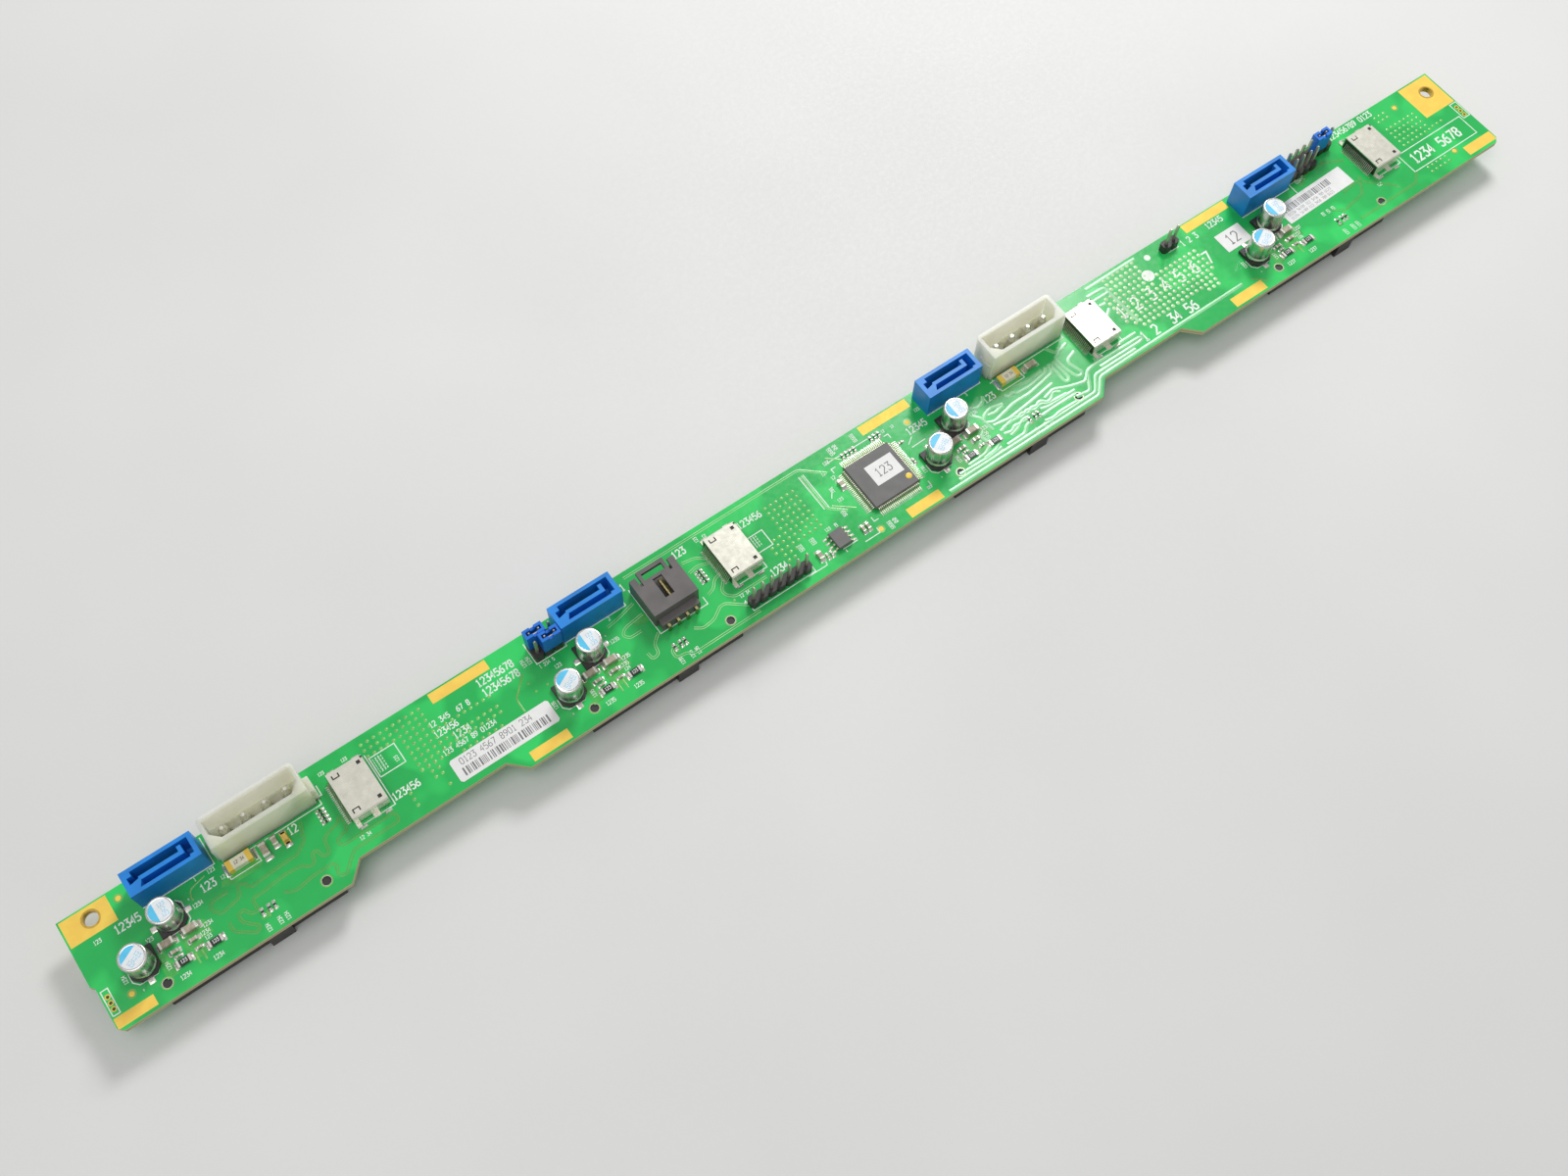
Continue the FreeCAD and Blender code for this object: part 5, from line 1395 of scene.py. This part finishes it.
class BACKPLANE_OT_memory_chip(Step, bpy.types.Operator):
    """Memory chip with bent leads and a first pin mark"""
    bl_idname = "backplane.memory_chip"
    bl_label = "Memory chip"

    def make(self):
        dress("memory_chip_body", "chip")
        low, high = node_box("memory_chip_body")
        x, y, _ = middle((low, high))
        half = (high[0] - low[0]) / 2
        outer = node_box("memory_chip_leads")[1][0] - x
        leads = Work("lead", "solder")
        profile = [(half - 0.1, 0.86), (half + 0.2, 0.86), (half + 0.32, 0.76), (half + 0.48, 0.24),
                   (half + 0.6, 0.12), (outer, 0.12)]
        strip = bent_strip(profile, 0.18, 0.42)
        centres = [middle(box) for box in solids_of("memory_chip_leads")]
        places = [(cy - y, 0) if cx > x else (y - cy, 180) for cx, cy, _ in centres]
        pad_levels = ((half + 0.5, outer + 0.55, 0.0, 0.0), (half + 0.6, outer + 0.3, 0.1, 0.13))
        add_leads(leads, strip, places, x, y, 0.32, pad_levels)
        leads.piece("memory_leads", replaced=["memory_chip_leads"])
        mark = Work("chip")
        mark.add(*ring(low[0] + 0.85, high[1] - 0.95, 0.24, 0.32, high[2], high[2] + 0.012, 20))
        mark.piece("memory_mark")


# ------------------------------------------------------------------ small parts
class BACKPLANE_OT_small_parts(Step, bpy.types.Operator):
    """Ceramic capacitors, resistors, fuses and the lamp, with solder at both ends of each"""
    bl_idname = "backplane.small_parts"
    bl_label = "Small parts"

    def make(self):
        dress("chip_capacitor_bodies", "ceramic")
        dress_all("tin", "chip_capacitor_ends", "chip_resistor_ends")
        dress("chip_resistor_bodies", "resistor")
        dress("fuse_bodies", "fuse")
        dress("fuse_end_caps", "gold")
        dress("indicator_lamp", "lamp")
        solder = Work("solder")
        ends = Work("tin")
        for bodies, caps in (("chip_capacitor_bodies", "chip_capacitor_ends"),
                             ("chip_resistor_bodies", "chip_resistor_ends")):
            cap_boxes = solids_of(caps)
            for low, high in cap_boxes:
                self.fillet(solder, low, high, self.outward(low, high, solids_of(bodies)))
            for low, high in solids_of(bodies):
                if not any(self.touches((low, high), cap) for cap in cap_boxes):
                    self.plated_ends(ends, solder, low, high)
        self.body_marks()
        for low, high in solids_of("fuse_end_caps"):
            self.fillet(solder, low, high, self.outward(low, high, solids_of("fuse_bodies")))
        self.lamp(ends, solder)
        solder.piece("small_part_solder", smooth_angle=60)
        ends.piece("plated_ends")

    def body_marks(self):
        """Plain figures on the tops of the larger resistors and the fuses."""
        marks = Work("print", "ink")
        for low, high in solids_of("chip_resistor_bodies"):
            if high[0] - low[0] > 1.6:
                write_number(marks, "123", low[0] + 0.42, low[1] + 0.45, 0.75, high[2], 0,
                             line=0.12, depth=0.01, ink="print")
        for low, high in solids_of("fuse_bodies"):
            write_number(marks, "12 34", low[0] + 0.55, low[1] + 0.85, 0.75, high[2], 0,
                         line=0.12, depth=0.01, ink="ink")
        marks.piece("part_marks")

    def touches(self, first, second):
        """Whether two boxes meet, or nearly."""
        reach = 0.02
        return all(first[0][k] < second[1][k] + reach and second[0][k] < first[1][k] + reach
                   for k in range(3))

    def outward(self, low, high, bodies):
        """Direction from the body that an end cap belongs to."""
        own = min(bodies, key=lambda box: math.dist(middle(box)[:2], middle((low, high))[:2]))
        dx, dy = (middle((low, high))[k] - middle(own)[k] for k in (0, 1))
        return (math.copysign(1, dx), 0) if abs(dx) > abs(dy) else (0, math.copysign(1, dy))

    def fillet(self, solder, low, high, way):
        """Hollow slope of solder from the pad up an end, wider than the end."""
        spread = 0.12
        if way[0]:
            face = high[0] if way[0] > 0 else low[0]
            wide = (low[1] - spread, high[1] + spread)
        else:
            face = high[1] if way[1] > 0 else low[1]
            wide = (low[0] - spread, high[0] + spread)
        sign = way[0] or way[1]
        reach = 0.35 + 0.2 * high[2]
        pad = sorted((face, face + sign * reach * 1.35))
        strip = (wide[0] - 0.05, wide[1] + 0.05)
        box = (*pad, *strip) if way[0] else (*strip, *pad)
        solder.add(*plate(*box, 0, 0.035, 0.01))
        levels = []
        tall = high[2]
        for out, up, pull in ((reach, 0.0, 0.0), (reach * 0.9, 0.05, 0.02),
                              (reach * 0.42, tall * 0.22, 0.08), (reach * 0.18, tall * 0.5, 0.13),
                              (0.03, tall * 0.8, 0.16)):
            ends = sorted((face - sign * 0.08, face + sign * out))
            sides = (wide[0] + pull, wide[1] - pull)
            levels.append((oblong(*ends, *sides) if way[0] else oblong(*sides, *ends), up))
        solder.add(*stacked(levels))

    def plated_ends(self, ends, solder, low, high):
        """Tin caps over the two ends of the smallest parts, and their solder."""
        grow = 0.015
        long_way = 0 if high[0] - low[0] > high[1] - low[1] else 1
        cap = 0.24
        for sign in (-1, 1):
            a, b = list(low), list(high)
            if sign < 0:
                b[long_way] = a[long_way] + cap
            else:
                a[long_way] = b[long_way] - cap
            box = (a[0] - grow, b[0] + grow, a[1] - grow, b[1] + grow)
            ends.add(*plate(*box, 0, b[2] + grow, 0.03))
            self.fillet(solder, a, b, (sign, 0) if long_way == 0 else (0, sign))

    def lamp(self, ends, solder):
        low, high = node_box("indicator_lamp")
        for sign in (-1, 1):
            y = high[1] if sign > 0 else low[1]
            edge = sorted((y - sign * 0.5, y + sign * 0.03))
            top = 0.5
            ends.add(*plate(low[0] + 0.25, high[0] - 0.25, *edge, 0, top, 0.03))
            self.fillet(solder, [low[0] + 0.1, edge[0], 0], [high[0] - 0.1, edge[1], top],
                        (0, sign))


# ------------------------------------------------------------------ labels
class BACKPLANE_OT_labels(Step, bpy.types.Operator):
    """Paper labels with plain bars and plain numbers"""
    bl_idname = "backplane.labels"
    bl_label = "Labels"
    askew = 1.5
    bar_widths = (0.15, 0.2, 0.3, 0.42)
    bar_gaps = (0.2, 0.2, 0.3, 0.45)
    ink_height = 0.008

    def make(self):
        dress("paper_labels", "paper")
        long_label, chip_label, square, right = solids_of("paper_labels")
        ink = Work("ink")
        draw = random.Random(11)
        low, high = long_label
        self.bars(ink, draw, low[0] + 1.7, low[0] + 23.8, low[1] + 0.9, low[1] + 3.0, high[2])
        self.row(ink, long_label, 2.2, 3.75, 1.55, "0123 4567 8901 234")
        self.row(ink, square, 2.2, 1.5, 3.1, "12")
        self.row(ink, chip_label, 1.7, 1.9, 2.3, "123")
        self.turned_label(ink, draw, right)
        ink.piece("label_ink")

    def bars(self, ink, draw, x, last, near, far, up):
        """Upright bars of uneven width in a row."""
        while x < last:
            wide = draw.choice(self.bar_widths)
            ink.add(*plate(x, x + wide, near, far, up, up + self.ink_height, 0.001))
            x += wide + draw.choice(self.bar_gaps)

    def row(self, ink, box, start, near, tall, figures):
        low, high = box
        write_number(ink, figures, low[0] + start, low[1] + near, tall, high[2], 0,
                     line=tall * 0.11, depth=self.ink_height, ink="ink")

    def turned_label(self, ink, draw, box):
        """The label beside the last connector lies a little askew."""
        (x, y, _), up = middle(box), box[1][2]
        start = len(ink.points)
        self.bars(ink, draw, x - 10.6, x + 6.4, y + 0.1, y + 2.1, up)
        for row in (-1.2, -2.5):
            write_number(ink, "01234 56789 012 3456 789 0123", x - 10.6, y + row, 0.8, up, 0,
                         line=0.09, depth=self.ink_height, ink="ink")
        ink.points[start:] = turned_about(ink.points[start:], x, y, self.askew)


# ------------------------------------------------------------------ stage
class BACKPLANE_OT_stage(Step, bpy.types.Operator):
    """Pale floor, two softboxes, even surroundings and the camera"""
    bl_idname = "backplane.stage"
    bl_label = "Stage"
    # Side of each softbox, where it hangs and what it points at, in metres.
    key_size, key_place, key_target = 0.24, (0.62, 0.42, 0.62), (0.27, 0.0, 0.0)
    fill_size, fill_place, fill_target = 0.6, (-0.15, -0.15, 0.9), (0.1, 0.0, 0.0)
    floor_reach = 3.0

    def make(self):
        scene = bpy.context.scene
        stage = scene.backplane_stage
        scene.view_settings.view_transform = "Standard"
        low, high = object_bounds()
        self.floor(stage, (low.x + high.x) / 2, (low.y + high.y) / 2, low.z)
        scene.world = self.surroundings(stage)
        self.softbox("Key", stage.key, self.key_size, self.key_place, self.key_target)
        self.softbox("Fill", stage.fill, self.fill_size, self.fill_place, self.fill_target)
        self.camera(stage)

    def surroundings(self, stage):
        """Even grey light, shown brighter to the camera and to anything that mirrors it."""
        world = bpy.data.worlds.new("Surroundings")
        world.use_nodes = True
        tree = world.node_tree
        path = tree.nodes.new("ShaderNodeLightPath")
        seen = path.outputs["Is Camera Ray"]
        for ray in ("Is Glossy Ray", "Is Transmission Ray"):
            either = tree.nodes.new("ShaderNodeMath")
            either.operation = "MAXIMUM"
            tree.links.new(seen, either.inputs[0])
            tree.links.new(path.outputs[ray], either.inputs[1])
            seen = either.outputs[0]
        strength = tree.nodes.new("ShaderNodeMapRange")
        strength.inputs["To Min"].default_value = stage.world
        strength.inputs["To Max"].default_value = stage.mirrored
        tree.links.new(seen, strength.inputs["Value"])
        background = tree.nodes["Background"]
        background.inputs["Color"].default_value = (1, 1, 1, 1)
        tree.links.new(strength.outputs["Result"], background.inputs["Strength"])
        return world

    def floor(self, stage, x, y, z):
        reach = self.floor_reach
        mesh = bpy.data.meshes.new("floor")
        corners = oblong(x - reach, x + reach, y - reach, y + reach)
        mesh.from_pydata([(px, py, z) for px, py in corners], [], [[0, 1, 2, 3]])
        looks = pattern(120.0, 0.015, 1.2, 0.02)
        mesh.materials.append(clouded("floor_board", stage.floor, 0.65, **looks))
        floor = bpy.data.objects.new("floor", mesh)
        bpy.context.scene.collection.objects.link(floor)
        floor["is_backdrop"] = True

    def softbox(self, name, power, size, place, target):
        lamp = bpy.data.lights.new(name, "AREA")
        lamp.shape = "SQUARE"
        lamp.size = size
        lamp.energy = power
        made = bpy.data.objects.new(name, lamp)
        made.location = place
        made.rotation_euler = (Vector(target) - Vector(place)).to_track_quat("-Z", "Y").to_euler()
        bpy.context.scene.collection.objects.link(made)

    def camera(self, stage):
        lens = bpy.data.cameras.new("Camera")
        lens.lens = stage.lens
        lens.sensor_width = 36
        lens.clip_start = 0.01
        made = bpy.data.objects.new("Camera", lens)
        eye = Vector(stage.eye)
        turn = (Vector(stage.aim) - eye).to_track_quat("-Z", "Y")
        made.location = eye
        made.rotation_mode = "QUATERNION"
        made.rotation_quaternion = turn @ Quaternion((0, 0, 1), stage.roll)
        bpy.context.scene.collection.objects.link(made)
        bpy.context.scene.camera = made


# ------------------------------------------------------------------ panel
STEPS = (
    BACKPLANE_OT_stage, BACKPLANE_OT_solder_mask, BACKPLANE_OT_gold_areas, BACKPLANE_OT_tracks,
    BACKPLANE_OT_board_print, BACKPLANE_OT_capacitors, BACKPLANE_OT_data_connectors,
    BACKPLANE_OT_drive_connectors, BACKPLANE_OT_power_connectors, BACKPLANE_OT_cable_connectors,
    BACKPLANE_OT_headers, BACKPLANE_OT_tail_solder, BACKPLANE_OT_controller_chip,
    BACKPLANE_OT_memory_chip, BACKPLANE_OT_small_parts, BACKPLANE_OT_labels,
)
GROUPS = (
    (BackplaneColours, "backplane_colours"),
    (BackplaneSizes, "backplane_sizes"),
    (BackplaneStage, "backplane_stage"),
)


class BACKPLANE_PT_panel(bpy.types.Panel):
    """Every step of the board's finish, with its settings"""
    bl_idname = "BACKPLANE_PT_panel"
    bl_label = "Drive backplane board"
    bl_space_type = "VIEW_3D"
    bl_region_type = "UI"
    bl_category = "Backplane"

    def draw(self, context):
        layout = self.layout
        for step in STEPS:
            layout.operator(step.bl_idname)
        for group, name in GROUPS:
            column = layout.box().column()
            for setting in group.__annotations__:
                column.prop(getattr(context.scene, name), setting)


def register():
    for group, name in GROUPS:
        bpy.utils.register_class(group)
        setattr(bpy.types.Scene, name, PointerProperty(type=group))
    for step in STEPS:
        bpy.utils.register_class(step)
    bpy.utils.register_class(BACKPLANE_PT_panel)


def unregister():
    bpy.utils.unregister_class(BACKPLANE_PT_panel)
    for step in reversed(STEPS):
        bpy.utils.unregister_class(step)
    for group, name in reversed(GROUPS):
        delattr(bpy.types.Scene, name)
        bpy.utils.unregister_class(group)


def main():
    register()
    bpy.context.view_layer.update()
    for step in STEPS:
        group, name = step.bl_idname.split(".")
        getattr(getattr(bpy.ops, group), name)()


if __name__ == "__main__":
    main()
